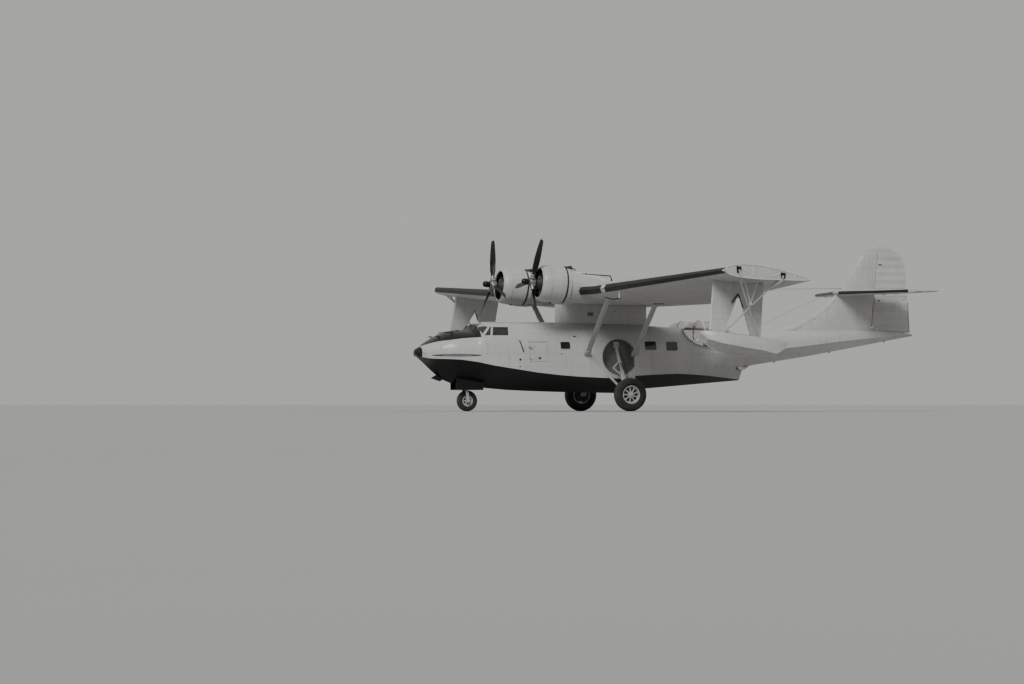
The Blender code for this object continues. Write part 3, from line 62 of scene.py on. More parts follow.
THRUST = np.array([math.cos(math.radians(5)), 0.0, math.sin(math.radians(5))])
THRUST_UP = np.array([-THRUST[2], 0.0, THRUST[0]])
HUB_X, HUB_Y, HUB_Z = 6.01, 2.10, 4.61
BLADE_REACH = 1.77
BLADE_TURN = {1.0: 26.0, -1.0: -13.5}
WING_TIP_Y = 15.20
WING_BREAK_Y = 4.30
WING_EDGE_X = 4.43
WING_SWEEP = 0.56
ROOT_CHORD = 4.57
WHEEL_X = 2.43
FLOAT_Y = 13.70
ABEAM, OVERHEAD = 3.0, 4.0
X_AXIS, Y_AXIS, Z_AXIS = np.eye(3)


# Shapes: a shape is its points and its blocks of faces, each block an array of corner numbers.

def unit(vector):
    """Vectors divided by their own length, along the last axis."""
    vector = np.asarray(vector, float)
    return vector / np.linalg.norm(vector, axis=-1, keepdims=True)


def grid_quads(rows, columns, wrap):
    """Quads between a grid's neighbouring rows and columns; the last column meets the first when it wraps."""
    row = np.arange(rows - 1)[:, None] * columns
    column = np.arange(columns if wrap else columns - 1)[None, :]
    beside = (column + 1) % columns
    below = row + columns
    return np.stack([row + column, row + beside, below + beside, below + column], -1).reshape(-1, 4)


def outward(points, blocks):
    """The shape, its faces turned round if its triangles' triple products add up to less than nothing."""
    volume = 0.0
    for block in blocks:
        for corner in range(1, block.shape[1] - 1):
            a, b, c = points[block[:, 0]], points[block[:, corner]], points[block[:, corner + 1]]
            volume += np.einsum("ij,ij->", a - points[0], np.cross(b - points[0], c - points[0]))
    return points, blocks if volume >= 0 else [block[:, ::-1] for block in blocks]


def loft(rings):
    """A closed skin over rings of equal count, with a fan from each end ring to its middle."""
    rings = np.asarray(rings, float)
    rows, columns = rings.shape[:2]
    points = np.concatenate([rings.reshape(-1, 3), rings[0].mean(0)[None], rings[-1].mean(0)[None]])
    turn = np.arange(columns)
    beside = (turn + 1) % columns
    pole = np.full(columns, rows * columns)
    last = (rows - 1) * columns
    fans = np.concatenate([np.stack([beside, turn, pole], -1),
                           np.stack([turn + last, beside + last, pole + 1], -1)])
    return outward(points, [grid_quads(rows, columns, True), fans])


def ring_loft(rings):
    """A closed ring-shaped skin: the grid wraps both along its rings and from the last ring to the first."""
    rings = np.asarray(rings, float)
    rows, columns = rings.shape[:2]
    return outward(rings.reshape(-1, 3), [grid_quads(rows + 1, columns, True) % (rows * columns)])


def full_turn(count):
    """Evenly spaced angles round a full turn."""
    return np.arange(count) * 2 * np.pi / count


def circle(sides):
    """Unit circle: cosine and sine of evenly spaced angles."""
    turn = full_turn(sides)
    return np.stack([np.cos(turn), np.sin(turn)], -1)


def blunt(sides, power):
    """Unit rounded square: the circle's cosine and sine raised to 2 over the power, with their signs kept."""
    round_ring = circle(sides)
    return np.sign(round_ring) * np.abs(round_ring) ** (2.0 / power)


def carried(path, profile, up=Z_AXIS, widths=1.0, heights=1.0):
    """A profile carried along a path.

    At each point the profile's first number runs along the path's direction crossed with up, and its second
    along that side crossed with the direction; widths and heights scale them.
    """
    path = np.asarray(path, float)
    along = unit(np.gradient(path, axis=0))
    side = unit(np.cross(along, up))
    over = np.cross(side, along)
    count = len(path)
    widths = np.broadcast_to(widths, count)[:, None, None]
    heights = np.broadcast_to(heights, count)[:, None, None]
    return (path[:, None] + profile[None, :, :1] * widths * side[:, None]
            + profile[None, :, 1:] * heights * over[:, None])


def tube(path, radius, sides=10, up=Z_AXIS):
    """A round tube: a circle carried along the path, its radius one number or one for each point."""
    return loft(carried(path, circle(sides), up, radius, radius))


def bar(start, end, width, height, up=Z_AXIS, sides=12, power=5.0):
    """A straight bar with a rounded-square section, from start to end."""
    path = np.linspace(start, end, 2)
    return loft(carried(path, blunt(sides, power), up, width / 2, height / 2))


def rod(start, end, radius, sides=10, end_radius=None):
    """A straight round rod, its radius changing evenly from start to end."""
    path = np.linspace(start, end, 2)
    along = unit(path[1] - path[0])
    up = X_AXIS if abs(along[2]) > 0.8 else Z_AXIS
    radii = np.array([radius, radius if end_radius is None else end_radius])
    return loft(carried(path, circle(sides), up, radii, radii))


def arc_path(start, middle, end, count=12):
    """Points on the parabola through three points at equal steps: the usual three-point interpolation."""
    share = np.linspace(0, 1, count)[:, None]
    rest = 1 - share
    start, middle, end = (np.asarray(point, float) for point in (start, middle, end))
    return start * rest * (rest - share) + 4 * middle * share * rest + end * share * (share - rest)


def lathe(profile, origin, axis, sides=24, closed=False):
    """A surface of revolution: each profile row gives the distance along the axis and the radius about it."""
    profile = np.asarray(profile, float)
    axis = unit(axis)
    first = unit(np.cross(axis, Y_AXIS if abs(axis[1]) < 0.8 else Z_AXIS))
    second = np.cross(axis, first)
    ring = circle(sides)
    spokes = ring[:, :1] * first + ring[:, 1:] * second
    rings = np.asarray(origin) + profile[:, :1, None] * axis + profile[:, 1:, None] * spokes[None]
    return ring_loft(rings) if closed else loft(rings)


def slab(outline, depth):
    """A flat outline pushed out by a vector: two polygons and the quads between them."""
    outline = np.asarray(outline, float)
    count = len(outline)
    turn = np.arange(count)
    beside = (turn + 1) % count
    points = np.concatenate([outline, outline + np.asarray(depth, float)])
    walls = np.stack([turn, beside, beside + count, turn + count], -1)
    return outward(points, [turn[None, ::-1], turn[None] + count, walls])


def domes(centres, normals, radius, height=None):
    """Small round heads: two six-sided rings and a tip over each centre, standing along its normal."""
    centres = np.atleast_2d(centres)
    normals = unit(np.broadcast_to(normals, centres.shape))
    height = radius * 0.6 if height is None else height
    first = unit(np.cross(normals, np.where(np.abs(normals[:, :1]) > 0.8, Z_AXIS, X_AXIS)))
    second = np.cross(normals, first)
    ring = circle(6)
    spokes = ring[None, :, :1] * first[:, None] + ring[None, :, 1:] * second[:, None]
    low = centres[:, None] - normals[:, None] * height + spokes * radius
    high = centres[:, None] + normals[:, None] * height * 0.6 + spokes * radius * 0.7
    tip = (centres + normals * height)[:, None]
    base = (centres - normals * height)[:, None]
    points = np.concatenate([low, high, tip, base], 1)
    turn, beside = np.arange(6), (np.arange(6) + 1) % 6
    quads = np.stack([turn, beside, beside + 6, turn + 6], -1)
    fans = np.concatenate([np.stack([turn + 6, beside + 6, np.full(6, 12)], -1),
                           np.stack([beside, turn, np.full(6, 13)], -1)])
    steps = np.arange(len(centres))[:, None, None] * 14
    return points.reshape(-1, 3), [(faces + steps).reshape(-1, faces.shape[1]) for faces in (quads, fans)]


def skin_at(nodes, points, direction):
    """Where rays from the points along one direction first meet the nodes' triangles, and the normals there.

    Every ray is set against every triangle at once with the usual edge cross products.
    """
    corners = []
    for node in nodes:
        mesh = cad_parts[node].data
        mesh.calc_loop_triangles()
        place = np.empty(len(mesh.vertices) * 3)
        mesh.vertices.foreach_get("co", place)
        index = np.empty(len(mesh.loop_triangles) * 3, int)
        mesh.loop_triangles.foreach_get("vertices", index)
        corners.append(place.reshape(-1, 3)[index].reshape(-1, 3, 3))
    corners = np.concatenate(corners)
    points, direction = np.atleast_2d(np.asarray(points, float)), unit(direction)
    first, second = corners[:, 1] - corners[:, 0], corners[:, 2] - corners[:, 0]
    across = np.cross(direction, second)
    size = np.einsum("ij,ij->i", first, across)
    size = np.where(np.abs(size) < 1e-12, np.nan, size)
    reach = points[:, None] - corners[None, :, 0]
    u = np.einsum("pij,ij->pi", reach, across) / size
    turned = np.cross(reach, first[None])
    v = turned @ direction / size
    distance = np.einsum("pij,ij->pi", turned, second) / size
    with np.errstate(invalid="ignore"):
        met = (u > -1e-6) & (v > -1e-6) & (u + v < 1 + 1e-6) & (distance > 0)
    distance = np.where(met, distance, np.inf)
    nearest = distance.argmin(1)
    far = distance[np.arange(len(points)), nearest]
    if not np.isfinite(far).all():
        raise RuntimeError("a ray misses %s from %s" % (", ".join(nodes), points[~np.isfinite(far)][0]))
    normals = unit(np.cross(first[nearest], second[nearest]))
    normals *= -np.sign(normals @ direction)[:, None]
    return points + far[:, None] * direction, normals


def laid(nodes, grid, direction, proud, sunk=0.004):
    """A plate laid on the skin: a grid of points dropped along a direction, and lifted along the mean normal.

    Its underside lies a little in the skin.
    """
    grid = np.asarray(grid, float)
    rows, columns = grid.shape[:2]
    landed, normals = skin_at(nodes, grid.reshape(-1, 3), direction)
    normal = unit(normals.mean(0))
    top = landed + normal * proud
    bottom = landed - normal * sunk
    count = rows * columns
    number = np.arange(count).reshape(rows, columns)
    rim = np.concatenate([number[0], number[1:, -1], number[-1, -2::-1], number[-2:0:-1, 0]])
    beside = np.roll(rim, -1)
    faces = grid_quads(rows, columns, False)
    walls = np.stack([rim, beside, beside + count, rim + count], -1)
    return outward(np.concatenate([top, bottom]), [faces, faces[:, ::-1] + count, walls[:, ::-1]])


def patch_grid(corner, across, down, rows, columns):
    """A flat grid from one corner, spread along two vectors."""
    first, second = np.linspace(0, 1, rows)[:, None, None], np.linspace(0, 1, columns)[None, :, None]
    return np.asarray(corner) + first * np.asarray(across) + second * np.asarray(down)


def make(name, shapes, finish, body="airframe", sharp=38):
    """One object from several closed shapes, smooth but for its sharp edges, riding on a body."""
    points, polygons, start = [], [], 0
    for place, blocks in shapes:
        points.append(place)
        for block in blocks:
            polygons += (block + start).tolist()
        start += len(place)
    mesh = bpy.data.meshes.new(name)
    mesh.from_pydata(np.concatenate(points).tolist(), [], polygons)
    mesh.shade_smooth()
    mesh.set_sharp_from_angle(angle=math.radians(sharp))
    piece = bpy.data.objects.new(name, mesh)
    bpy.context.scene.collection.objects.link(piece)
    mesh.materials.append(bpy.data.materials[finish])
    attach(piece, body)
    return piece


# Shader arithmetic, and the node groups that several finishes share.

class Flow:
    """A node's output to reckon with: each sign adds a Math or Vector Math node to its own tree."""

    def __init__(self, socket):
        self.socket = socket

    def __add__(self, other):
        return reckon("ADD", self, other)

    def __radd__(self, other):
        return reckon("ADD", other, self)

    def __sub__(self, other):
        return reckon("SUBTRACT", self, other)

    def __rsub__(self, other):
        return reckon("SUBTRACT", other, self)

    def __mul__(self, other):
        return reckon("MULTIPLY", self, other)

    def __truediv__(self, other):
        return reckon("DIVIDE", self, other)

    def __abs__(self):
        return reckon("ABSOLUTE", self)


def add_node(tree, kind, inputs=(), **settings):
    """A node with its settings, and its inputs given as values or as the flows that feed them."""
    node = tree.nodes.new(kind)
    for key, value in settings.items():
        setattr(node, key, value)
    for key, value in dict(inputs).items():
        if isinstance(value, Flow):
            tree.links.new(value.socket, node.inputs[key])
        else:
            node.inputs[key].default_value = value
    return node


def tree_of(flow):
    """The node tree that a flow belongs to."""
    return flow.socket.id_data


def reckon(operation, *values, **settings):
    """The result of a Math node, or of a Vector Math node if a flow among the values is a vector."""
    flow = next(value for value in values if isinstance(value, Flow))
    kind = "ShaderNodeVectorMath" if flow.socket.type == "VECTOR" else "ShaderNodeMath"
    return Flow(add_node(tree_of(flow), kind, enumerate(values), operation=operation, **settings).outputs[0])


def length_of(vector):
    """A vector's length."""
    node = add_node(tree_of(vector), "ShaderNodeVectorMath", {0: vector}, operation="LENGTH")
    return Flow(node.outputs["Value"])


def map_range(value, low, high, **settings):
    """0 at low and 1 at high, held beyond them."""
    inputs = {"Value": value, "From Min": low, "From Max": high}
    return Flow(add_node(tree_of(value), "ShaderNodeMapRange", inputs, **settings).outputs[0])


def smooth_step(value, low, high):
    """0 below low and 1 above high, with a smooth rise between; low above high gives the reverse."""
    return map_range(value, low, high, interpolation_type="SMOOTHSTEP")


def split_axes(vector):
    """The vector's three parts."""
    return [Flow(part) for part in add_node(tree_of(vector), "ShaderNodeSeparateXYZ", {0: vector}).outputs]


def join_axes(x, y, z=0.0):
    """A vector from three parts, the first of them a flow."""
    return Flow(add_node(tree_of(x), "ShaderNodeCombineXYZ", {0: x, 1: y, 2: z}).outputs[0])


def mix(share, first, second):
    """One colour passing into another as the share goes from 0 to 1."""
    inputs = {0: share, 6: first, 7: second}
    return Flow(add_node(tree_of(share), "ShaderNodeMix", inputs, data_type="RGBA").outputs[2])


def noise(vector, scale, **inputs):
    """Cloud noise over a vector."""
    inputs = dict(inputs, Vector=vector, Scale=scale)
    return Flow(add_node(tree_of(vector), "ShaderNodeTexNoise", inputs).outputs["Fac"])


def new_group(name, **inputs):
    """Named flows from the inputs of a new shader node group; a default of three numbers makes a vector."""
    group = bpy.data.node_groups.new(name, "ShaderNodeTree")
    for label, default in inputs.items():
        kind = "NodeSocketVector" if isinstance(default, tuple) else "NodeSocketFloat"
        group.interface.new_socket(label, in_out="INPUT", socket_type=kind).default_value = default
    given = group.nodes.new("NodeGroupInput").outputs
    return [Flow(given[label]) for label in inputs]


def end_group(**outputs):
    """Makes each named flow a float output of the group that they are in."""
    group = tree_of(next(iter(outputs.values())))
    for label in outputs:
        group.interface.new_socket(label, in_out="OUTPUT", socket_type="NodeSocketFloat")
    add_node(group, "NodeGroupOutput", outputs)


HALF = (0.5, 0.5, 0.5)


def build_seam_group():
    """Plate seams: the distance to the nearest of the planes at odd half pitches, the least over the axes."""
    position, pitch, width = new_group("plate_seams", Position=(0, 0, 0), Pitch=(0.8, 1000, 0.5), Width=0.006)
    middle = abs(reckon("FRACTION", position / pitch + HALF) - HALF)
    away = split_axes((HALF - middle) * pitch)
    nearest = reckon("MINIMUM", reckon("MINIMUM", away[0], away[1]), away[2])
    seam = smooth_step(nearest, width, 0.0)
    end_group(Seam=seam, Height=1.0 - seam)


def build_rivet_group():
    """Rows of rivets: the distance in the plane of the first two axes to the nearest point of a grid."""
    position, pitch, radius = new_group("rivet_rows", Position=(0, 0, 0), Pitch=(0.4, 0.06, 1), Radius=0.009)
    cell = reckon("FRACTION", position / pitch + (1.0, 1.0, 1.0)) - HALF
    end_group(Head=smooth_step(length_of(cell * pitch * (1.0, 1.0, 0.0)), radius, 0.0))


def build_grime_group():
    """Grime: broad cloud noise and noise drawn out along the stretch, both pushed apart, and fine noise."""
    position, scale, stretch = new_group("grime", Position=(0, 0, 0), Scale=1.2, Stretch=(1, 1, 0.15))
    broad = noise(position, scale, Detail=5.0, Roughness=0.62)
    streak = noise(position * stretch, scale * 9.0, Detail=4.0)
    fine = noise(position, scale * 60.0, Detail=3.0)
    end_group(Patches=smooth_step(broad, 0.42, 0.70), Streaks=smooth_step(streak, 0.50, 0.72), Fine=fine)


def build_rib_group():
    """Doped fabric over ribs: a raised tape at each pitch, and cloth sagging between as a shallow cosine."""
    along, pitch, width, position = new_group("fabric_ribs", Along=0.0, Pitch=0.31, Tape=0.03,
                                              Position=(0, 0, 0))
    share = reckon("FRACT", along / pitch + 100.5) - 0.5
    tape = smooth_step(abs(share) * pitch, width, 0.0)
    wave = reckon("COSINE", share * (2 * math.pi)) * 0.5
    # Rib marks where each rib lies; the finishes darken the colour there as painted shade.
    end_group(Rib=tape, Height=wave + tape * 0.35 + noise(position, 300.0) * 0.06)


def build_brush_group():
    """Drawn or cast metal: noise stretched along an axis for brush marks, and even noise for its grain."""
    position, scale, stretch = new_group("metal_grain", Position=(0, 0, 0), Scale=40.0, Stretch=(0.05, 1, 1))
    marks = noise(position * stretch, scale, Detail=6.0)
    end_group(Marks=marks, Grain=noise(position, scale * 6.0, Detail=2.0))


def shared(name, flow, **inputs):
    """The outputs of one of the shared groups, placed in a flow's own tree with these inputs."""
    outputs = add_node(tree_of(flow), "ShaderNodeGroup", inputs, node_tree=bpy.data.node_groups[name]).outputs
    return {output.name: Flow(output) for output in outputs}


def soil(place, scale, stretch=(1, 1, 1)):
    """The shared grime at a place."""
    return shared("grime", place, Position=place, Scale=scale, Stretch=stretch)


def start_finish(name, roughness=0.5, metallic=0.0, coat=0.0, specular=0.5):
    """A new material's Principled BSDF with these constants, and the mesh's own coordinates."""
    material = bpy.data.materials.new(name)
    material.use_nodes = True
    shader = material.node_tree.nodes["Principled BSDF"]
    shader.inputs["Roughness"].default_value = roughness
    shader.inputs["Metallic"].default_value = metallic
    shader.inputs["Coat Weight"].default_value = coat
    shader.inputs["Specular IOR Level"].default_value = specular
    return shader, Flow(add_node(material.node_tree, "ShaderNodeTexCoord").outputs["Object"])


def set_surface(shader, colour, roughness=None, height=None, depth=0.002):
    """Feeds the shader's colour and roughness, and its normal from a height of the given depth."""
    links = shader.id_data.links
    links.new(colour.socket, shader.inputs["Base Color"])
    if roughness is not None:
        links.new(roughness.socket, shader.inputs["Roughness"])
    if height is not None:
        inputs = {"Height": height, "Distance": depth, "Strength": 1.0}
        bump = add_node(shader.id_data, "ShaderNodeBump", inputs)
        links.new(bump.outputs[0], shader.inputs["Normal"])


def grey(tone):
    """A neutral colour, a touch warm."""
    return (tone, tone * 0.995, tone * 0.975, 1.0)


def soiled(dirt, colour, patch_share, patch_tone, streak_share, streak_tone):
    """The colour with a share of patches and then of streaks over it, each a darker tone of it."""
    base = mix(dirt["Patches"] * patch_share, colour, grey(colour[0] * patch_tone))
    return mix(dirt["Streaks"] * streak_share, base, grey(colour[0] * streak_tone))


# Finishes of this aircraft.

SEAM_TONE, RIVET_TONE = grey(0.06), grey(0.08)


def worn_paint(name, colour, pitch, rivet_pitch, roughness=0.40, axes=(0, 2), overlay=None,
               streak=(1, 1, 0.12), coat=0.15, specular=0.3):
    """Paint on riveted plates: seams and rivet heads in the normal, dark seams, streaks and chalky patches.

    The overlay is a function that gets the position's parts and the colour, and returns the new colour.
    Faces that look into their own shell, marked by the inner attribute, are painted near black: painted shade
    inside the shell.
    """
    shader, place = start_finish(name, roughness, coat=coat, specular=specular)
    parts = split_axes(place)
    flat = join_axes(parts[axes[0]], parts[axes[1]])
    seams = shared("plate_seams", flat, Position=flat, Pitch=(*pitch, 1000.0), Width=0.006)
    rows = shared("rivet_rows", flat, Position=flat, Pitch=(pitch[0], rivet_pitch, 1.0), Radius=0.007)
    lines = shared("rivet_rows", flat, Position=flat, Pitch=(rivet_pitch, pitch[1], 1.0), Radius=0.007)
    dirt = soil(place, 0.9, streak)
    base = soiled(dirt, colour, 0.35, 0.80, 0.28, 0.62)
    if overlay:
        base = overlay(parts, base)
    base = mix(seams["Seam"] * 0.45, base, SEAM_TONE)
    heads = reckon("MAXIMUM", rows["Head"], lines["Head"])
    base = mix(heads * 0.15, base, RIVET_TONE)
    # Painted shade: faces inside a shell are painted near black in place of the shade in there.
    inner = Flow(add_node(shader.id_data, "ShaderNodeAttribute", attribute_name="inner").outputs["Fac"])
    base = mix(inner, base, grey(0.020))
    rough = roughness + (dirt["Fine"] - 0.5) * 0.25 + dirt["Patches"] * 0.12
    set_surface(shader, base, rough, seams["Height"] + heads * 0.6)


def inside(value, low, high, soft=0.012):
    """1 where low < value < high, with a soft edge."""
    return smooth_step(value, low - soft, low) * smooth_step(value, high + soft, high)


def nose_marks(parts, base):
    """The black nose cap, the anti-glare panel above a rising edge, and the bow's tapered side stripe."""
    x, _, z = parts
    cap = smooth_step(x, 9.520, 9.535)
    curve = add_node(tree_of(x), "ShaderNodeFloatCurve", {"Value": map_range(x, 9.55, 7.55)})
    points = curve.mapping.curves[0].points
    rising = ((0.0, 0.05), (0.155, 0.36), (0.30, 0.53), (0.46, 0.63), (0.68, 0.76), (1.0, 0.86))
    points[0].location, points[1].location = rising[0], rising[-1]
    for place in rising[1:-1]:
        points.new(*place)
    curve.mapping.update()
    edge = Flow(curve.outputs[0]) * 0.42 + 2.285
    glare = smooth_step(z, edge, edge + 0.012) * smooth_step(x, 7.560, 7.575)
    share = map_range(x, 9.28, 7.62)
    half = reckon("SQRT", reckon("MAXIMUM", share * (1.0 - share), 0.0)) * 0.085
    away = abs(z - 2.003)
    stripe = smooth_step(away, half + 0.006, half) * inside(x, 7.62, 9.28)
    core = smooth_step(away, half * 0.55, half * 0.35) * inside(x, 7.95, 8.95)
    base = mix(stripe - core * 0.35, base, grey(0.045))
    return mix(reckon("MAXIMUM", cap, glare), base, bpy.context.scene.boat_colours.black)


def wing_share(reach):
    """How far out a distance from the middle lies, from 0 at the wing's break to 1 at its tip."""
    return reckon("DIVIDE", reach - WING_BREAK_Y, WING_TIP_Y - WING_BREAK_Y, use_clamp=True)


def wing_marks(parts, base):
    """Black rubber along the leading edge, straight in |y|, bare at the tip and at the landing light."""
    reach = abs(parts[1])
    edge = WING_EDGE_X - wing_share(reach) * WING_SWEEP
    boot = smooth_step(edge - parts[0], 0.090, 0.078) * smooth_step(reach, 15.10, 15.08)
    boot = boot * (1.0 - inside(reach, 4.78, 5.10))
    return mix(boot, base, bpy.context.scene.boat_colours.black)


def tail_marks(parts, base):
    """Black rubber along the tailplane's leading edge, whose x falls with |y| in two straight parts."""
    reach = abs(parts[1])
    inner = (reach - 0.02) * 0.2235
    outer = reckon("MAXIMUM", reach - 3.60, 0.0) * 0.146
    back = -6.59 - inner - outer - parts[0]
    boot = smooth_step(back, 0.057, 0.045) * smooth_step(reach, 0.24, 0.26)
    return mix(boot, base, bpy.context.scene.boat_colours.black)


def fabric_finish(name, axis, pitch, colour):
    """Doped fabric: rib tapes and shallow sag along one axis, with the rib lines darkened as painted shade,
    weave, and soft stains.
    """
    shader, place = start_finish(name, 0.55, coat=0.05, specular=0.3)
    along = split_axes(place)[axis]
    ribs = shared("fabric_ribs", place, Along=along, Pitch=pitch, Tape=0.025, Position=place)
    dirt = soil(place, 1.1, (0.15, 1, 0.15))
    base = soiled(dirt, colour, 0.30, 0.82, 0.22, 0.66)
    # Painted shade: the lines over the ribs are darker, as ribs show through lit fabric.
    base = mix(ribs["Rib"] * 0.30, base, grey(colour[0] * 0.60))
    set_surface(shader, base, 0.50 + dirt["Fine"] * 0.18, ribs["Height"], 0.012)


def wing_finish(name, colour):
    """The wing: riveted plates ahead of the fabric line, fabric over ribs behind it with painted shade along
    the ribs, black edge in front.
    """
    shader, place = start_finish(name, 0.45, coat=0.08, specular=0.25)
    parts = split_axes(place)
    reach = abs(parts[1])
    line = 2.00 - wing_share(reach) * 0.30
    fabric = smooth_step(parts[0], line + 0.006, line)
    plate = 1.0 - fabric
    flat = join_axes(parts[0], parts[1])
    seams = shared("plate_seams", flat, Position=flat, Pitch=(0.62, 1.24, 1000.0), Width=0.007)
    rows = shared("rivet_rows", flat, Position=flat, Pitch=(0.05, 0.31, 1.0), Radius=0.007)
    spans = shared("rivet_rows", flat, Position=flat, Pitch=(0.62, 0.05, 1.0), Radius=0.007)
    ribs = shared("fabric_ribs", flat, Along=parts[1], Pitch=0.205, Tape=0.020, Position=place)
    dirt = soil(place, 0.8, (0.10, 1, 1))
    base = soiled(dirt, colour, 0.35, 0.80, 0.30, 0.60)
    heads = reckon("MAXIMUM", rows["Head"], spans["Head"]) * plate
    base = mix(seams["Seam"] * plate * 0.45, base, SEAM_TONE)
    base = mix(heads * 0.18, base, RIVET_TONE)
    # Painted shade: the fabric is darker along the ribs, as ribs show through lit fabric.
    base = mix(ribs["Rib"] * fabric * 0.42, base, grey(0.20))
    base = mix(reckon("MULTIPLY", fabric * plate, 3.0, use_clamp=True), base, SEAM_TONE)
    joints = reckon("MAXIMUM", inside(reach, 6.74, 6.765), inside(reach, 1.03, 1.055))
    base = wing_marks(parts, mix(joints * plate * 0.8, base, grey(0.05)))
    rough = 0.36 + dirt["Fine"] * 0.22 + fabric * 0.12
    height = (seams["Height"] * 0.25 + heads * 0.15) * plate + ribs["Height"] * fabric
    set_surface(shader, base, rough, height, 0.012)


def blade_finish(black):
    """Propeller black with pale tips: the tip is where the distance from the hub's centre passes a limit.

    Fine noise shows worn paint on the blades' outer part.
    """
    shader, place = start_finish("blade_black", 0.38, specular=0.3)
    x, y, z = split_axes(place)
    distance = length_of(join_axes(x - HUB_X, abs(y) - HUB_Y, z - HUB_Z))
    dirt = soil(place, 3.0)
    limit = BLADE_REACH - bpy.context.scene.boat_sizes.blade_tip
    tip = smooth_step(distance, limit - 0.004, limit + 0.004)
    base = mix(tip, mix(dirt["Patches"] * 0.5, black, grey(0.045)), grey(0.46))
    chips = smooth_step(dirt["Fine"], 0.60, 0.66) * smooth_step(distance, 0.7, 1.7)
    base = mix(chips * 0.5, base, grey(0.22))
    set_surface(shader, base, 0.30 + dirt["Fine"] * 0.30, dirt["Fine"], 0.0006)


def plain_finish(name, colour, roughness, scale=3.0, dirt_share=0.4, coat=0.0):
    """One colour with grime patches, streaks and a fine grain."""
    shader, place = start_finish(name, roughness, coat=coat, specular=0.3)
    dirt = soil(place, scale, (1, 1, 0.2))
    base = soiled(dirt, colour, dirt_share, 0.55, dirt_share * 0.7, 0.40)
    set_surface(shader, base, roughness + (dirt["Fine"] - 0.5) * 0.30, dirt["Fine"], 0.0006)


def metal_finish(name, colour, roughness, stretch=(1, 1, 1), metallic=0.85):
    """Bare or cast metal: brush marks in the roughness, oil stains in the colour."""
    shader, place = start_finish(name, roughness, metallic)
    grain = shared("metal_grain", place, Position=place, Scale=30.0, Stretch=stretch)
    dirt = soil(place, 4.0, (1, 1, 0.3))
    base = mix(dirt["Patches"] * 0.6, colour, grey(colour[0] * 0.40))
    base = mix(grain["Marks"] * 0.3, base, grey(colour[0] * 0.70))
    set_surface(shader, base, roughness - 0.12 + grain["Marks"] * 0.30, grain["Grain"], 0.0008)


def rubber_finish(name, axle_x, radius):
    """Tyre rubber: dusty tread, and rings pressed in the side wall at even distances from the axle.

    The distance is measured in the wheel's own plane; the wheel stands on the ground.
    """
    shader, place = start_finish(name, 0.80, specular=0.3)
    x, _, z = split_axes(place)
    distance = length_of(join_axes(x - axle_x, 0.0, z - radius))
    dirt = soil(place, 5.0)
    rings = reckon("SINE", distance * 260.0) * smooth_step(distance, radius * 0.86, radius * 0.82)
    tread = smooth_step(distance, radius * 0.90, radius * 0.97)
    base = mix(dirt["Patches"] * 0.5, grey(0.022), grey(0.050))
    base = mix(tread * 0.6, base, grey(0.060))
    set_surface(shader, base, 0.70 + dirt["Fine"] * 0.2, rings * 0.5 + dirt["Fine"], 0.0015)


def glass_finish(name, tone, roughness):
    """Clear acrylic: plain transmission, with fine scratches and water marks in the roughness and normal."""
    shader, place = start_finish(name, roughness)
    shader.inputs["Transmission Weight"].default_value = 0.92
    shader.inputs["IOR"].default_value = 1.15
    dirt = soil(place, 6.0, (1, 1, 0.1))
    base = mix(dirt["Streaks"] * 0.25, grey(tone), grey(tone * 0.7))
    set_surface(shader, base, roughness + dirt["Streaks"] * 0.05, dirt["Fine"], 0.0002)


def pane_finish():
    """A pane seen from outside by day, painted nearly black as painted shade of the unlit space behind it:
    glossy, with wipe marks in the gloss.
    """
    shader, place = start_finish("painted_shade_pane", 0.06, coat=0.6)
    dirt = soil(place, 5.0, (1, 1, 0.1))
    # Painted shade: nearly black stands in for the dark space behind the pane.
    base = mix(dirt["Patches"] * 0.5, grey(0.012), grey(0.012 * 2.2))
    set_surface(shader, base, 0.05 + dirt["Streaks"] * 0.12, dirt["Fine"], 0.0003)


def lamp_finish():
    """A lamp's lens: pressed ribs in clear glass over a bright reflector."""
    shader, place = start_finish("lamp_lens", 0.08, 0.3, coat=0.8)
    flutes = abs(reckon("SINE", split_axes(place)[1] * 180.0))
    set_surface(shader, mix(flutes, grey(0.55), grey(0.85)), height=flutes)


def cloth_finish():
    """Seat cloth: two crossed sine waves as weave, over worn patches."""
    shader, place = start_finish("seat_fabric", 0.85)
    shader.inputs["Sheen Weight"].default_value = 0.3
    x, y, z = split_axes(place)
    weave = reckon("SINE", y * 1400.0) * reckon("SINE", (x + z) * 1400.0)
    base = mix(soil(place, 6.0)["Patches"] * 0.6, grey(0.10), grey(0.055))
    base = mix((weave + 1.0) * 0.15, base, grey(0.16))
    set_surface(shader, base, None, weave, 0.0012)


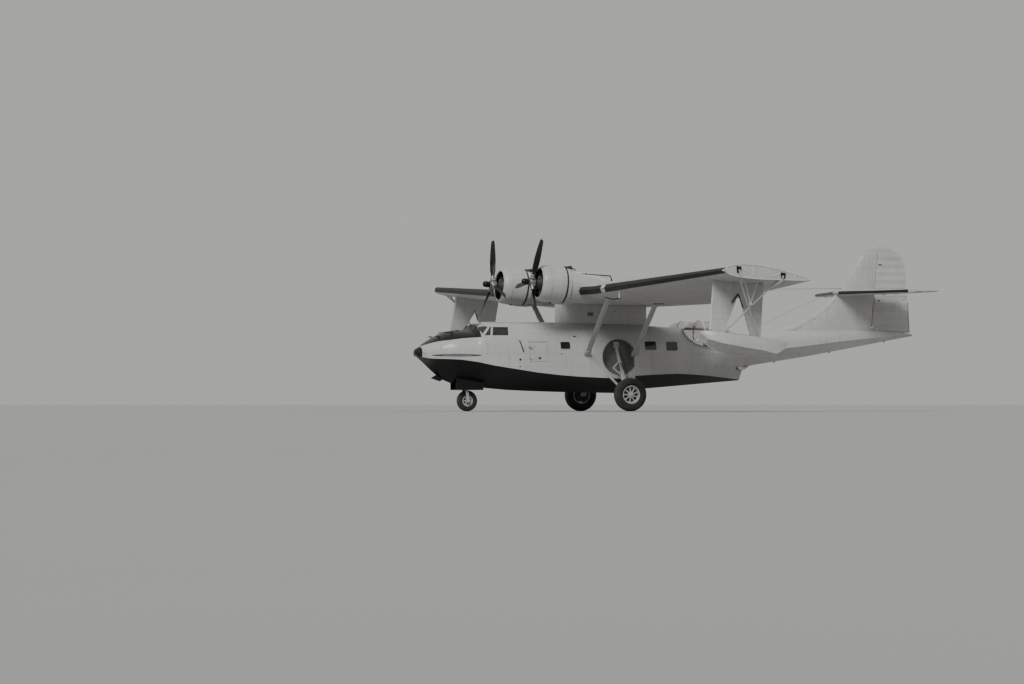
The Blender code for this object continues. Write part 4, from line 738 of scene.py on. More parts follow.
def build_finishes():
    """Every material of the aircraft, under its own name."""
    colours = bpy.context.scene.boat_colours
    paint, black, bottom = tuple(colours.paint), tuple(colours.black), tuple(colours.bottom)
    worn_paint("hull_paint", paint, (0.78, 0.46), 0.055, 0.36, overlay=nose_marks, coat=0.25)
    worn_paint("bottom_paint", bottom, (0.78, 0.30), 0.060, 0.50, (0, 1), None, (0.08, 1, 1), 0.0, 0.12)
    wing_finish("wing_paint", paint)
    worn_paint("nacelle_paint", paint, (0.52, 0.70), 0.045, 0.38, streak=(0.08, 1, 1), coat=0.25)
    worn_paint("pylon_paint", paint, (0.64, 0.48), 0.050)
    worn_paint("fin_paint", paint, (0.60, 0.62), 0.055)
    worn_paint("tailplane_paint", paint, (0.55, 0.82), 0.055, axes=(0, 1), overlay=tail_marks,
               streak=(0.1, 1, 1))
    worn_paint("float_paint", paint, (0.48, 0.30), 0.045)
    worn_paint("strut_paint", grey(paint[0] * 0.95), (2.2, 1.7), 0.25, 0.42, axes=(1, 2))
    worn_paint("well_primer", grey(0.22), (0.30, 0.22), 0.045, 0.60, coat=0.0)
    fabric_finish("aileron_fabric", 1, 0.31, paint)
    fabric_finish("elevator_fabric", 1, 0.29, paint)
    fabric_finish("rudder_fabric", 2, 0.285, paint)
    blade_finish(black)
    plain_finish("black_fitting", black, 0.45, 4.0)
    plain_finish("grey_fitting", grey(0.23), 0.50, 4.0)
    plain_finish("light_fitting", grey(0.58), 0.45, 3.0, 0.3)
    # Real soot on the exhaust stacks and their shields; painted shade in the scoop and cooler mouths and in
    # the gap behind the cowl flaps.
    plain_finish("soot_and_painted_shade", grey(0.035), 0.75, 6.0, 0.8)
    plain_finish("cockpit_lining", grey(0.07), 0.70)
    plain_finish("gear_paint", grey(0.42), 0.40, 5.0, coat=0.2)
    plain_finish("dial_white", grey(0.65), 0.40, 20.0)
    plain_finish("cable_black", grey(0.03), 0.55, 10.0)
    metal_finish("bare_metal", grey(0.55), 0.38, (0.05, 1, 1))
    metal_finish("hub_metal", grey(0.34), 0.42)
    metal_finish("chrome", grey(0.78), 0.20, (1, 1, 0.05), 1.0)
    # Painted shade: the engine's case and cylinders are near black for the shade inside the cowl; the brake
    # drums share the case's finish.
    metal_finish("cast_metal_painted_shade", grey(0.06), 0.60, metallic=0.4)
    metal_finish("cylinder_metal_painted_shade", grey(0.045), 0.60, metallic=0.4)
    rubber_finish("main_rubber", WHEEL_X, 0.60)
    rubber_finish("nose_rubber", 7.73, 0.38)
    glass_finish("clear_acrylic", 0.86, 0.03)
    glass_finish("cockpit_acrylic", 0.42, 0.04)
    pane_finish()
    lamp_finish()
    cloth_finish()


def both(*names):
    """Each name with the port side's ending and with the starboard side's."""
    return tuple("%s_%s" % (name, word) for name in names for word, _ in SIDES)


FINISH_OF = {
    "hull_paint": ("hull_bow", "hull_cockpit", "hull_cabin", "hull_waist", "hull_tail", "entry_door",
                   "cockpit_canopy") + both("blister_frame"),
    "bottom_paint": ("planing_bottom_fore", "planing_bottom_aft") + both("nose_door"),
    "wing_paint": ("wing_centre",) + both("wing_outer"),
    "aileron_fabric": both("aileron"),
    "elevator_fabric": ("elevators",),
    "rudder_fabric": ("rudder",),
    "pylon_paint": ("pylon",) + both("float_panel"),
    "nacelle_paint": both("nacelle", "cowl"),
    "fin_paint": ("fin",),
    "tailplane_paint": both("stabilizer"),
    "float_paint": both("float"),
    "strut_paint": both("wing_strut_front", "wing_strut_rear", "float_struts"),
    "well_primer": ("main_wheel_wells",),
    "cockpit_lining": ("instrument_panel", "control_yokes"),
    "seat_fabric": ("crew_seats",),
    "clear_acrylic": both("blister_glass"),
    "cockpit_acrylic": ("cockpit_glass",),
    "cylinder_metal_painted_shade": both("engine"),
    "blade_black": both("propeller"),
    "gear_paint": both("main_gear_leg") + ("nose_gear_leg", "nose_gear_fork"),
    "hub_metal": both("main_hub") + ("nose_hub",),
    "main_rubber": both("main_tyre"),
    "nose_rubber": ("nose_tyre",),
}
SHELLS = ("hull_cockpit", "hull_cabin", "hull_waist", "cockpit_canopy") + both("cowl")
SHELL_REACH = 3.2


def build_edge_softener():
    """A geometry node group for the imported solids, and its reach input's identifier.

    It joins their loose triangles, shades smooth below an angle, and marks as inner each face whose normal,
    followed for the given reach, meets the same solid again.
    """
    group = bpy.data.node_groups.new("soften_edges", "GeometryNodeTree")
    group.interface.new_socket("Geometry", in_out="INPUT", socket_type="NodeSocketGeometry")
    angle = group.interface.new_socket("Angle", in_out="INPUT", socket_type="NodeSocketFloat")
    angle.default_value = math.radians(30)
    reach = group.interface.new_socket("Reach", in_out="INPUT", socket_type="NodeSocketFloat")
    reach.default_value = 0.0
    group.interface.new_socket("Geometry", in_out="OUTPUT", socket_type="NodeSocketGeometry")
    given = group.nodes.new("NodeGroupInput").outputs

    def step(kind, inputs=(), output=0, **settings):
        return Flow(add_node(group, kind, inputs, **settings).outputs[output])

    bare = step("GeometryNodeRemoveAttribute", {"Geometry": Flow(given["Geometry"]), "Name": "custom_normal"})
    joined = step("GeometryNodeMergeByDistance", {"Geometry": bare, "Distance": 0.00008})
    smooth = step("GeometryNodeSetShadeSmooth", {"Geometry": joined})
    bend = step("GeometryNodeInputMeshEdgeAngle", output="Unsigned Angle")
    soft = step("FunctionNodeCompare", {0: bend, 1: Flow(given["Angle"])}, operation="LESS_THAN")
    creased = step("GeometryNodeSetShadeSmooth", {"Geometry": smooth, "Shade Smooth": soft}, domain="EDGE")
    normal = step("GeometryNodeInputNormal")
    start = step("GeometryNodeInputPosition") + normal * (0.01, 0.01, 0.01)
    hit = step("GeometryNodeRaycast", {
        "Target Geometry": creased, "Source Position": start, "Ray Direction": normal,
        "Ray Length": Flow(given["Reach"])}, "Is Hit")
    marked = step("GeometryNodeStoreNamedAttribute", {
        "Geometry": creased, "Name": "inner", "Value": hit}, data_type="FLOAT", domain="FACE")
    add_node(group, "NodeGroupOutput", {"Geometry": marked})
    return group, reach.identifier


def finish_solids():
    """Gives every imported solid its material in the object's slots, and shades its gentle bends smooth."""
    softener, reach = build_edge_softener()
    for finish, nodes in FINISH_OF.items():
        for name in nodes:
            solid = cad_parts[name]
            for place in solid.material_slots:
                place.link = "OBJECT"
                place.material = bpy.data.materials[finish]
            modifier = solid.modifiers.new("soften_edges", "NODES")
            modifier.node_group = softener
            modifier[reach] = SHELL_REACH if name in SHELLS else 0.0


# Fine pieces.

def hoop(points, normals, width, height):
    """A closed hoop on a surface, its rounded-square section set across the way round and the normal."""
    points = np.asarray(points, float)
    normals = unit(np.broadcast_to(normals, points.shape))
    along = unit(np.roll(points, -1, 0) - np.roll(points, 1, 0))
    side = unit(np.cross(along, normals))
    profile = blunt(8, 4.0)
    return ring_loft(points[:, None] + profile[None, :, :1] * width / 2 * side[:, None]
                     + profile[None, :, 1:] * height / 2 * normals[:, None])


def strip(path, width, height, up=Z_AXIS, sides=8, power=4):
    """A rounded-square section carried along a path; each size is one number, or one for each point."""
    return loft(carried(path, blunt(sides, power), up, width, height))


def rounded_outline(low_a, high_a, low_b, high_b, corner):
    """Points round a rectangle with round corners: quarter circles about the four inset corners."""
    turn = np.linspace(0, np.pi / 2, 6)
    quarter = np.stack([np.cos(turn), np.sin(turn)], -1) * corner
    middles = np.array([(high_a - corner, high_b - corner), (low_a + corner, high_b - corner),
                        (low_a + corner, low_b + corner), (high_a - corner, low_b + corner)])
    spins = np.array([[[1, 0], [0, 1]], [[0, -1], [1, 0]], [[-1, 0], [0, -1]], [[0, 1], [-1, 0]]], float)
    return np.concatenate([middles[k] + quarter @ spins[k].T for k in range(4)])


def beside(node, points, side=1.0):
    """Where a node's outer side lies at points given as x and z, and the normals there."""
    points = np.asarray(points, float)
    start = np.column_stack([points[:, 0], np.full(len(points), side * ABEAM), points[:, 1]])
    return skin_at([node], start, (0, -side, 0))


def side_plate(node, x0, z0, width, height, rows, columns, side, proud):
    """A plate laid on a node's side over a rectangle of x and z."""
    grid = patch_grid((x0, side * ABEAM, z0), (width, 0, 0), (0, 0, height), rows, columns)
    return laid([node], grid, (0, -side, 0), proud)


def add_side_windows():
    """Cabin and waist windows: a rounded hoop dropped on the skin round a pane painted dark as painted shade
    of the hull behind it, and a row of screws.
    """
    edge = bpy.context.scene.boat_sizes.window_frame
    places = (("cabin", "hull_cabin", 4.31, 4.67, 2.24, 2.49),
              ("waist_fore", "hull_waist", 0.97, 1.41, 2.22, 2.52),
              ("waist_aft", "hull_waist", 0.13, 0.57, 2.20, 2.51))
    for name, node, x0, x1, z0, z1 in places:
        outline = rounded_outline(x0 - edge / 2, x1 + edge / 2, z0 - edge / 2, z1 + edge / 2, 0.07)
        for word, side in SIDES:
            landed, normals = beside(node, outline, side)
            screws = domes(landed[::2] + normals[::2] * 0.012, normals[::2], 0.007)
            rim = hoop(landed + normals * 0.004, normals, edge, 0.022)
            make("%s_window_frame_%s" % (name, word), [rim, screws], "hull_paint")
            pane = side_plate(node, x0, z0, x1 - x0, z1 - z0, 4, 4, side, 0.006)
            make("%s_window_pane_%s" % (name, word), [pane], "painted_shade_pane")


def add_door_details():
    """Handle and hinge straps on the port entry door's own body, and the rain strip over it."""
    landed, normals = beside("entry_door", rounded_outline(5.44, 5.52, 1.87, 1.95, 0.038))
    plate = hoop(landed + normals * 0.003, normals, 0.018, 0.012)
    grip, out = beside("entry_door", [(5.50, 1.91), (5.46, 1.91)])
    bow = arc_path(grip[0], grip.mean(0) + out[0] * 0.045, grip[1])
    make("door_handle", [plate, tube(bow, 0.010)], "black_fitting", "entry_door")
    levels = (1.865, 2.285)
    straps = [side_plate("entry_door", 5.60, z, 0.20, 0.035, 6, 2, 1, 0.006) for z in levels]
    heads, normals = beside("entry_door", [(x, z + 0.017) for z in levels for x in (5.63, 5.69, 5.75)])
    screws = domes(heads + normals * 0.008, normals, 0.008)
    make("door_hinge_straps", straps + [screws], "hull_paint", "entry_door")
    ledge, _ = beside("hull_cabin", [(x, 2.505) for x in np.linspace(5.10, 5.90, 9)])
    make("door_rain_strip", [strip(ledge, 0.014, 0.010)], "hull_paint")


def add_hull_details():
    """Louvre slot painted dark as painted shade, chine fairings, tail scoops with mouths painted dark as
    painted shade, side vents, roof step, tie rings and the stern light.
    """
    # Painted shade: the louvre slot is a dark plate laid on the skin.
    slot_grid = patch_grid((6.235, ABEAM, 2.55), (-0.14, 0, -0.44), (-0.06, 0, 0.0), 6, 2)
    make("side_louvre", [laid(["hull_cabin"], slot_grid, (0, -1, 0), 0.004)], "painted_shade_pane")
    corners = np.array([(6.235, 2.55), (6.095, 2.11), (6.035, 2.11), (6.175, 2.55)])
    rim = np.concatenate([np.linspace(corners[k], corners[(k + 1) % 4], 6, endpoint=False) for k in range(4)])
    landed, normals = beside("hull_cabin", rim)
    make("side_louvre_rim", [hoop(landed, normals, 0.014, 0.016)], "hull_paint")
    fairing = ((2.377, 1.165), (1.857, 1.167), (1.908, 1.335), (2.033, 1.444), (2.303, 1.226))
    for word, side in SIDES:
        outline = [(x, side * 1.50, z) for x, z in fairing]
        make("chine_fairing_" + word, [slab(outline, (0, side * 0.055, 0))], "hull_paint")
        scoop = np.array([(-2.50, side * 0.60, 1.60), (-2.62, side * 0.52, 1.545),
                          (-2.86, side * 0.36, 1.585), (-3.10, side * 0.20, 1.655)])
        widths, heights = (0.075, 0.095, 0.08, 0.02), (0.045, 0.070, 0.055, 0.02)
        make("tail_scoop_" + word, [strip(scoop, widths, heights, Z_AXIS, 12, 3)], "hull_paint")
        # Painted shade: the scoop's mouth is a dark plug in place of the shade inside it.
        mouth = strip(scoop[:2] + (0.035, 0, 0.0), 0.062, 0.040, Z_AXIS, 12, 3)
        make("tail_scoop_mouth_painted_shade_" + word, [mouth], "soot_and_painted_shade")
    vents = (("hull_cabin", 6.212, 1.854, 0.040), ("hull_cabin", 6.238, 1.601, 0.022),
             ("hull_cabin", 4.644, 2.068, 0.022), ("hull_tail", -3.083, 2.745, 0.024),
             ("hull_waist", -2.085, 2.312, 0.045), ("fin", -5.805, 3.381, 0.020),
             ("fin", -6.386, 3.80, 0.020))
    for number, (node, x, z, radius) in enumerate(vents, 1):
        place, normal = beside(node, [(x, z)])
        profile = ((-0.012, radius), (0.006, radius), (0.010, radius * 0.7), (0.004, radius * 0.6),
                   (0.003, 0.001))
        make("side_vent_%d" % number, [lathe(profile, place[0], normal[0], 16)], "black_fitting")
    place, normal = beside("hull_cabin", [(4.093, 2.69)])
    step = bar(place[0] + (0.05, 0, 0), place[0] + (-0.05, 0, 0) + normal[0] * 0.01, 0.05, 0.03)
    make("roof_step", [step], "black_fitting")
    rings = []
    for x in (-4.2, -6.4, -8.6):
        foot, _ = skin_at(["hull_tail"], [(x, 0.0, 0.5)], (0, 0, 1))
        ring = circle(16) * 0.026
        loop = foot[0] - (0, 0, 0.022) + ring[:, :1] * X_AXIS + ring[:, 1:] * Z_AXIS
        base = lathe([(-0.01, 0.03), (0.008, 0.03), (0.012, 0.02)], foot[0] - (0, 0, 0.006), (0, 0, -1), 12)
        rings += [hoop(loop, Y_AXIS, 0.012, 0.012), base]
    make("tail_tie_rings", rings, "black_fitting")
    profile = ((0, 0.022), (0.02, 0.026), (0.05, 0.024), (0.065, 0.014), (0.070, 0.001))
    make("stern_light", [lathe(profile, (-9.655, 0, 2.828), (-0.1, 0, 1), 14)], "lamp_lens")


def add_bow_fittings():
    """Bow eye and its wedge, deck cleats, and the mooring hatch's coaming with hinges."""
    wedge = slab([(8.887, -0.03, 1.315), (9.106, -0.03, 1.192), (8.764, -0.03, 1.079), (8.650, -0.03, 1.150)],
                 (0, 0.06, 0))
    make("bow_eye", [wedge, rod((8.93, -0.05, 1.185), (8.93, 0.05, 1.185), 0.030)], "black_fitting")
    for word, side in SIDES:
        shapes = []
        for x, y in ((8.95, 0.42), (8.51, 0.56)):
            foot, normal = skin_at(["hull_bow"], [(x, side * y, OVERHEAD)], (0, 0, -1))
            top = foot[0] + normal[0] * 0.05
            horns = arc_path(top - (0.10, 0, 0.012), top + normal[0] * 0.012, top + (0.10, 0, -0.012))
            shapes += [rod(foot[0] - normal[0] * 0.01, top, 0.016), tube(horns, 0.013)]
        make("deck_cleats_" + word, shapes, "black_fitting")
    outline = rounded_outline(8.12, 8.62, -0.30, 0.30, 0.08)
    start = np.column_stack([outline, np.full(len(outline), OVERHEAD)])
    landed, normals = skin_at(["hull_bow"], start, (0, 0, -1))
    raised = landed + normals * 0.012
    hinges = [bar(raised[k] - (0.03, 0, 0), raised[k] + (0.03, 0, 0), 0.03, 0.016) for k in (8, 15)]
    coaming = hoop(landed + normals * 0.006, normals, 0.030, 0.026)
    make("bow_hatch_coaming", [coaming] + hinges, "black_fitting")


def add_cockpit_details():
    """Wipers, roof vent, dials on the panel, and the throttles in the roof."""
    shapes = []
    for side in (1, -1):
        for y in (0.20, 0.52):
            sweep = [(x, side * (y + 0.06 * k), OVERHEAD) for k, x in enumerate((7.672, 7.61, 7.55))]
            landed, normals = skin_at(["cockpit_canopy", "cockpit_glass"], sweep, (0, 0, -1))
            shapes.append(tube(landed + normals * 0.016, 0.006, 6, Y_AXIS))
            shapes.append(domes(landed[:1] + normals[:1] * 0.01, normals[:1], 0.018))
    make("windscreen_wipers", shapes, "black_fitting")
    knob, normal = skin_at(["cockpit_canopy"], [(7.36, 0.40, OVERHEAD)], (0, 0, -1))
    profile = ((-0.01, 0.045), (0.030, 0.040), (0.045, 0.025), (0.05, 0.001))
    make("roof_vent", [lathe(profile, knob[0], normal[0], 16)], "grey_fitting")
    low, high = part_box("instrument_panel")
    columns = (-0.72, -0.56, -0.40, -0.22, 0.22, 0.40, 0.56, 0.72)
    places = [(y, z) for z in (high.z - 0.07, high.z - 0.19) for y in columns]
    bezel = ((0.0, 0.052), (0.012, 0.052), (0.014, 0.044), (0.006, 0.042), (0.005, 0.001))
    face = ((0.0, 0.038), (0.002, 0.036), (0.0022, 0.001))
    bezels = [lathe(bezel, (low.x - 0.002, y, z), (-1, 0, 0), 18) for y, z in places]
    faces = [lathe(face, (low.x - 0.009, y, z), (-1, 0, 0), 16) for y, z in places]
    x = low.x - 0.0125
    needles = [bar((x, y - 0.006, z - 0.006), (x, y + 0.018, z + 0.02), 0.004, 0.002, X_AXIS)
               for y, z in places]
    make("panel_dials", bezels, "black_fitting")
    make("dial_faces", faces, "dial_white")
    make("dial_needles", needles, "black_fitting")
    rows = (-0.09, -0.03, 0.03, 0.09)
    knob = ((-0.014, 0.002), (-0.010, 0.012), (0.0, 0.016), (0.010, 0.012), (0.014, 0.002))
    levers = [rod((7.10, y, 3.155), (7.13, y, 3.02), 0.007, 8) for y in rows]
    knobs = [lathe(knob, (7.13, y, 3.02), (0, 0, 1), 10) for y in rows]
    box = bar((7.10, -0.13, 3.165), (7.10, 0.13, 3.165), 0.10, 0.05)
    make("roof_throttles", levers + knobs + [box], "black_fitting")


def cushion_shape(centre, half_sizes, lean=0.0):
    """A crowned pad leaned about Y: cosines and sines raised to powers under 1, with their signs kept."""
    turn, over = full_turn(40), np.linspace(-np.pi / 2, np.pi / 2, 17)[1:-1]

    def power(value, exponent):
        return np.sign(value) * np.abs(value) ** exponent

    wide = power(np.cos(over), 0.42)[:, None]
    rings = np.stack([wide * power(np.cos(turn), 0.5)[None], wide * power(np.sin(turn), 0.5)[None],
                      np.broadcast_to(power(np.sin(over), 0.85)[:, None], (len(over), 40))], -1)
    c, s = math.cos(lean), math.sin(lean)
    return loft(rings * np.asarray(half_sizes) @ np.array([(c, 0, s), (0, 1, 0), (-s, 0, c)]).T + centre)


def add_seat_cushions():
    """A seat and a back cushion on each crew seat."""
    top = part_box("crew_seats")[1].z
    for word, side in SIDES:
        y = side * 0.48
        seat = cushion_shape((6.68, y, top - 0.585), (0.205, 0.195, 0.045))
        back = cushion_shape((6.515, y, top - 0.26), (0.235, 0.19, 0.04), math.pi / 2)
        for name, shape in (("seat_cushion_", seat), ("back_cushion_", back)):
            make(name + word, [shape], "seat_fabric")


def add_blister_details():
    """A screwed hoop round the foot of each blister's frame."""
    turn = full_turn(40)[:, None]
    for word, side in SIDES:
        low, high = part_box("blister_frame_" + word)
        inward = np.array([0.0, -side * math.cos(0.6), -math.sin(0.6)])
        over = np.array([0.0, -side * math.sin(0.6), math.cos(0.6)])
        centre = np.array([(low.x + high.x) / 2, side * 0.84, 2.76])
        height = 0.60 * np.sin(turn) * (1 + 0.24 * np.cos(turn))
        start = centre + 1.11 * np.cos(turn) * X_AXIS + height * over - inward * 3
        landed, normals = skin_at(["hull_waist", "hull_tail"], start, inward)
        screws = domes(landed[::2] + normals[::2] * 0.011, normals[::2], 0.008)
        rim = hoop(landed + normals * 0.003, normals, 0.045, 0.014)
        make("blister_rim_" + word, [rim, screws], "hull_paint")


def wing_surface(x, y, above):
    """Where a plumb line at x and y meets the wing, from above or from below."""
    x, y = np.broadcast_arrays(np.asarray(x, float), np.asarray(y, float))
    start = np.column_stack([x.ravel(), y.ravel(), np.full(x.size, 7.0 if above else 2.0)])
    outer = "wing_outer_left" if y.max() > 0 else "wing_outer_right"
    node = "wing_centre" if np.abs(y).max() < WING_BREAK_Y else outer
    return skin_at([node], start, (0, 0, -1 if above else 1))


def add_wing_details():
    """Landing lights, probes, strut shoes, end ribs, aileron brackets, hand holes, fuel caps and hatches."""
    for word, side in SIDES:
        node = "wing_outer_" + word
        y = side * 4.94
        lens = patch_grid((6.0, y - 0.13, 4.36), (0, 0.26, 0), (0, 0, 0.13), 5, 5)
        make("landing_light_" + word, [laid([node], lens, (-1, 0, 0), 0.004)], "lamp_lens")
        rim = rounded_outline(y - 0.14, y + 0.14, 4.355, 4.50, 0.04)
        landed, normals = skin_at([node], np.column_stack([np.full(len(rim), 6.0), rim]), (-1, 0, 0))
        make("landing_light_rim_" + word, [hoop(landed, normals, 0.022, 0.014)], "bare_metal")
        if side > 0:
            add_wing_probes()
        shoes = []
        for x, y in ((3.95, 4.47), (2.07, 4.40)):
            grid = patch_grid((x + 0.17, side * y - 0.05, 2.0), (-0.34, side * 0.10, 0), (0, 0.09, 0), 6, 2)
            shoes.append(laid([node], grid, (0, 0, 1), 0.020))
        make("strut_head_shoes_" + word, shoes, "black_fitting")
        add_tip_rib(word, side, node)
        hinges = []
        for y in (7.4, 9.6, 11.9, 14.2):
            share = (y - WING_BREAK_Y) / (WING_TIP_Y - WING_BREAK_Y)
            x = WING_EDGE_X - WING_SWEEP * share - (ROOT_CHORD - 1.44 * share) * 0.745
            foot, _ = wing_surface([x + 0.10, x], [side * y, side * y], False)
            path = np.array([foot[0] + (0.06, 0, 0.0), foot[0] - (0.05, 0, 0.03), foot[1] - (0.02, 0, 0.035),
                             foot[1] - (0.05, 0, 0.0)])
            widths, heights = (0.02, 0.03, 0.03, 0.012), (0.014, 0.020, 0.020, 0.010)
            hinges.append(strip(path, widths, heights, Y_AXIS, 8, 3))
        make("aileron_brackets_" + word, hinges, "light_fitting")
        ring = circle(20) * 0.11
        plates = []
        for x, y in ((3.6, 5.6), (3.2, 7.9), (3.2, 10.4), (3.1, 12.6), (2.55, 6.8), (2.5, 9.2)):
            landed, normals = wing_surface(x + ring[:, 0], side * y + ring[:, 1], False)
            plates.append(hoop(landed, normals, 0.016, 0.008))
        make("wing_hand_holes_" + word, plates, "light_fitting")
    caps, hatches = [], []
    cap = ((-0.01, 0.07), (0.008, 0.07), (0.012, 0.05), (0.016, 0.048), (0.018, 0.001))
    for side in (1, -1):
        for x, y in ((3.3, 1.3), (3.3, 3.1)):
            place, normal = wing_surface([x], [side * y], True)
            caps.append(lathe(cap, place[0], normal[0], 20))
        outline = rounded_outline(2.35, 2.85, side * 0.95 - 0.25, side * 0.95 + 0.25, 0.05)
        landed, normals = wing_surface(outline[:, 0], outline[:, 1], True)
        hatches.append(hoop(landed, normals, 0.02, 0.010))
    make("fuel_caps", caps, "light_fitting")
    make("wing_hatch_rims", hatches, "light_fitting")


def add_wing_probes():
    """The long air probe over the port wing, and the pitot under it."""
    foot, _ = wing_surface([4.05], [5.0], True)
    probe = np.array([foot[0] - (0, 0, 0.01), (4.10, 5.0, 4.775), (4.60, 5.0, 4.805), (5.193, 5.0, 4.845)])
    knob = domes([(5.015, 5.0, 4.850)], Z_AXIS, 0.028, 0.035)
    make("air_probe", [tube(probe, (0.030, 0.022, 0.018, 0.012), up=Y_AXIS), knob], "black_fitting")
    foot, _ = wing_surface([4.211], [6.158], False)
    low = foot[0] - (0, 0, 0.27)
    make("pitot_mast", [rod(foot[0] + (0, 0, 0.01), low, 0.022, 12, 0.018)], "light_fitting")
    head = [low - (0.05, 0, 0), low + (0.06, 0, 0), low + (0.19, 0, 0)]
    make("pitot_head", [tube(head, (0.018, 0.022, 0.010), up=Y_AXIS)], "black_fitting")


def add_tip_rib(word, side, node):
    """The wing's bare end rib: a lip round the section, stiffeners, the float struts' ends, the tip light."""
    y = side * (WING_TIP_Y + 0.005)
    inner_y = side * (WING_TIP_Y - 0.01)
    x = np.linspace(3.80, 0.92, 26)
    ring = np.concatenate([wing_surface(x, inner_y, True)[0], wing_surface(x, inner_y, False)[0][::-1]])
    ring[:, 1] = y
    shapes = [hoop(ring, (0, side, 0), 0.035, 0.022)]
    for x0, z0, x1, z1 in ((2.85, 4.89, 2.85, 4.575), (1.372, 4.66, 1.372, 4.47),
                           (3.301, 4.828, 2.991, 4.625), (1.878, 4.633, 2.193, 4.507)):
        shapes.append(bar((x0, y, z0), (x1, y, z1), 0.045, 0.022, Y_AXIS))
    make("end_rib_" + word, shapes, "light_fitting")
    brackets, heads = [], []
    plate = np.array([(-0.09, 0, 0.09), (0.09, 0, 0.11), (0.07, 0, -0.11), (-0.06, 0, -0.09)])
    outer_y = y + side * 0.035
    for x0, z0, x1, z1, x2, z2 in ((3.38, 4.755, 3.31, 4.50, 3.118, 4.216),
                                   (1.785, 4.555, 1.85, 4.37, 2.134, 4.12)):
        brackets.append(slab(plate + (x0, y, z0), (0, side * 0.030, 0)))
        brackets.append(rod((x0, y, z0), (x0, y + side * 0.042, z0), 0.030, 12))
        path = [(x0, outer_y, z0), (x1, outer_y, z1), (x2, side * 14.812, z2)]
        heads.append(tube(path, 0.030, 12, X_AXIS))
    make("float_strut_brackets_" + word, brackets, "black_fitting")
    make("float_strut_heads_" + word, heads, "strut_paint")
    lamp, _ = skin_at([node], [(5.0, side * 15.10, 4.72)], (-1, 0, 0))
    dome = ((-0.03, 0.030), (0.02, 0.030), (0.05, 0.024), (0.07, 0.012), (0.075, 0.001))
    make("tip_light_" + word, [lathe(dome, lamp[0], (1, 0, 0), 14)], "lamp_lens")


def add_strut_cuffs():
    """Fairing cuffs at both ends of each wing strut: short sleeves a little larger than its section."""
    for place, foot_x, head_x in (("front", 3.67, 3.81), ("rear", 1.87, 1.93)):
        for word, side in SIDES:
            foot = np.array([foot_x, side * 1.30, 1.88])
            head = np.array([head_x, side * 4.25, 4.21])
            shapes = []
            for share, length, grow in ((0.085, 0.16, 1.22), (0.905, 0.10, 1.25)):
                step = unit(head - foot) * length
                path = foot + (head - foot) * share + np.array([[0.0], [0.5], [1.0]]) * step
                sizes = np.array((grow, grow * 1.05, 1.06))
                shapes.append(strip(path, sizes * 0.045, sizes * 0.108, X_AXIS, 20, 2.2))
            make("wing_strut_%s_%s_cuffs" % (place, word), shapes, "strut_paint")


def add_pylon_details():
    """The pylon's small port with its pane painted dark as painted shade, hatch rims and vents."""
    for word, side in SIDES:
        landed, normals = beside("pylon", rounded_outline(3.05, 3.30, 3.44, 3.59, 0.05), side)
        make("pylon_window_rim_" + word, [hoop(landed, normals, 0.025, 0.016)], "pylon_paint")
        # The port's pane is painted dark as painted shade of the pylon's inside.
        pane = side_plate("pylon", 3.06, 3.45, 0.23, 0.13, 3, 3, side, 0.004)
        make("pylon_window_" + word, [pane], "painted_shade_pane")
        dots, normals = beside("pylon", [(2.70, 3.62), (2.179, 3.616)], side)
        make("pylon_vents_" + word, [domes(dots, normals, 0.026)], "black_fitting")
        rims = []
        for hatch in ((1.75, 2.30, 3.30, 3.66), (2.60, 3.05, 3.25, 3.70)):
            landed, normals = beside("pylon", rounded_outline(*hatch, 0.06), side)
            rims.append(hoop(landed, normals, 0.014, 0.008))
        make("pylon_hatch_rims_" + word, rims, "pylon_paint")


def hub_point(side):
    """The middle of a propeller, on the engine's thrust line."""
    return np.array([HUB_X, side * HUB_Y, HUB_Z])


def around(side, along, radius, turn):
    """Points ahead of the hub along the thrust line and a radius off it, at angles counted from the top."""
    turn = np.asarray(turn, float)[..., None]
    return hub_point(side) + along * THRUST + radius * (np.sin(turn) * Y_AXIS + np.cos(turn) * THRUST_UP)


def spots(side, places, turn=0.0):
    """A path of points round an engine at one angle, each given by its distance ahead and its radius."""
    return np.array([around(side, along, radius, turn) for along, radius in places])


def finned_profile(fins):
    """A cylinder's profile out from the crankcase: barrel fins, then wider head fins, then the domed head."""
    rows = [(0.235, 0.070)]
    for start, stop, count, inner, outer in ((0.275, 0.430, fins, 0.078, 0.099),
                                             (0.440, 0.560, fins - 3, 0.086, 0.106)):
        for low, high in np.linspace(start, stop, count * 2 + 1)[:-1].reshape(-1, 2):
            rows += [(low, inner), (low + 0.001, outer), (high, outer), (high + 0.001, inner)]
    return rows + [(0.572, 0.080), (0.590, 0.055), (0.597, 0.010)]


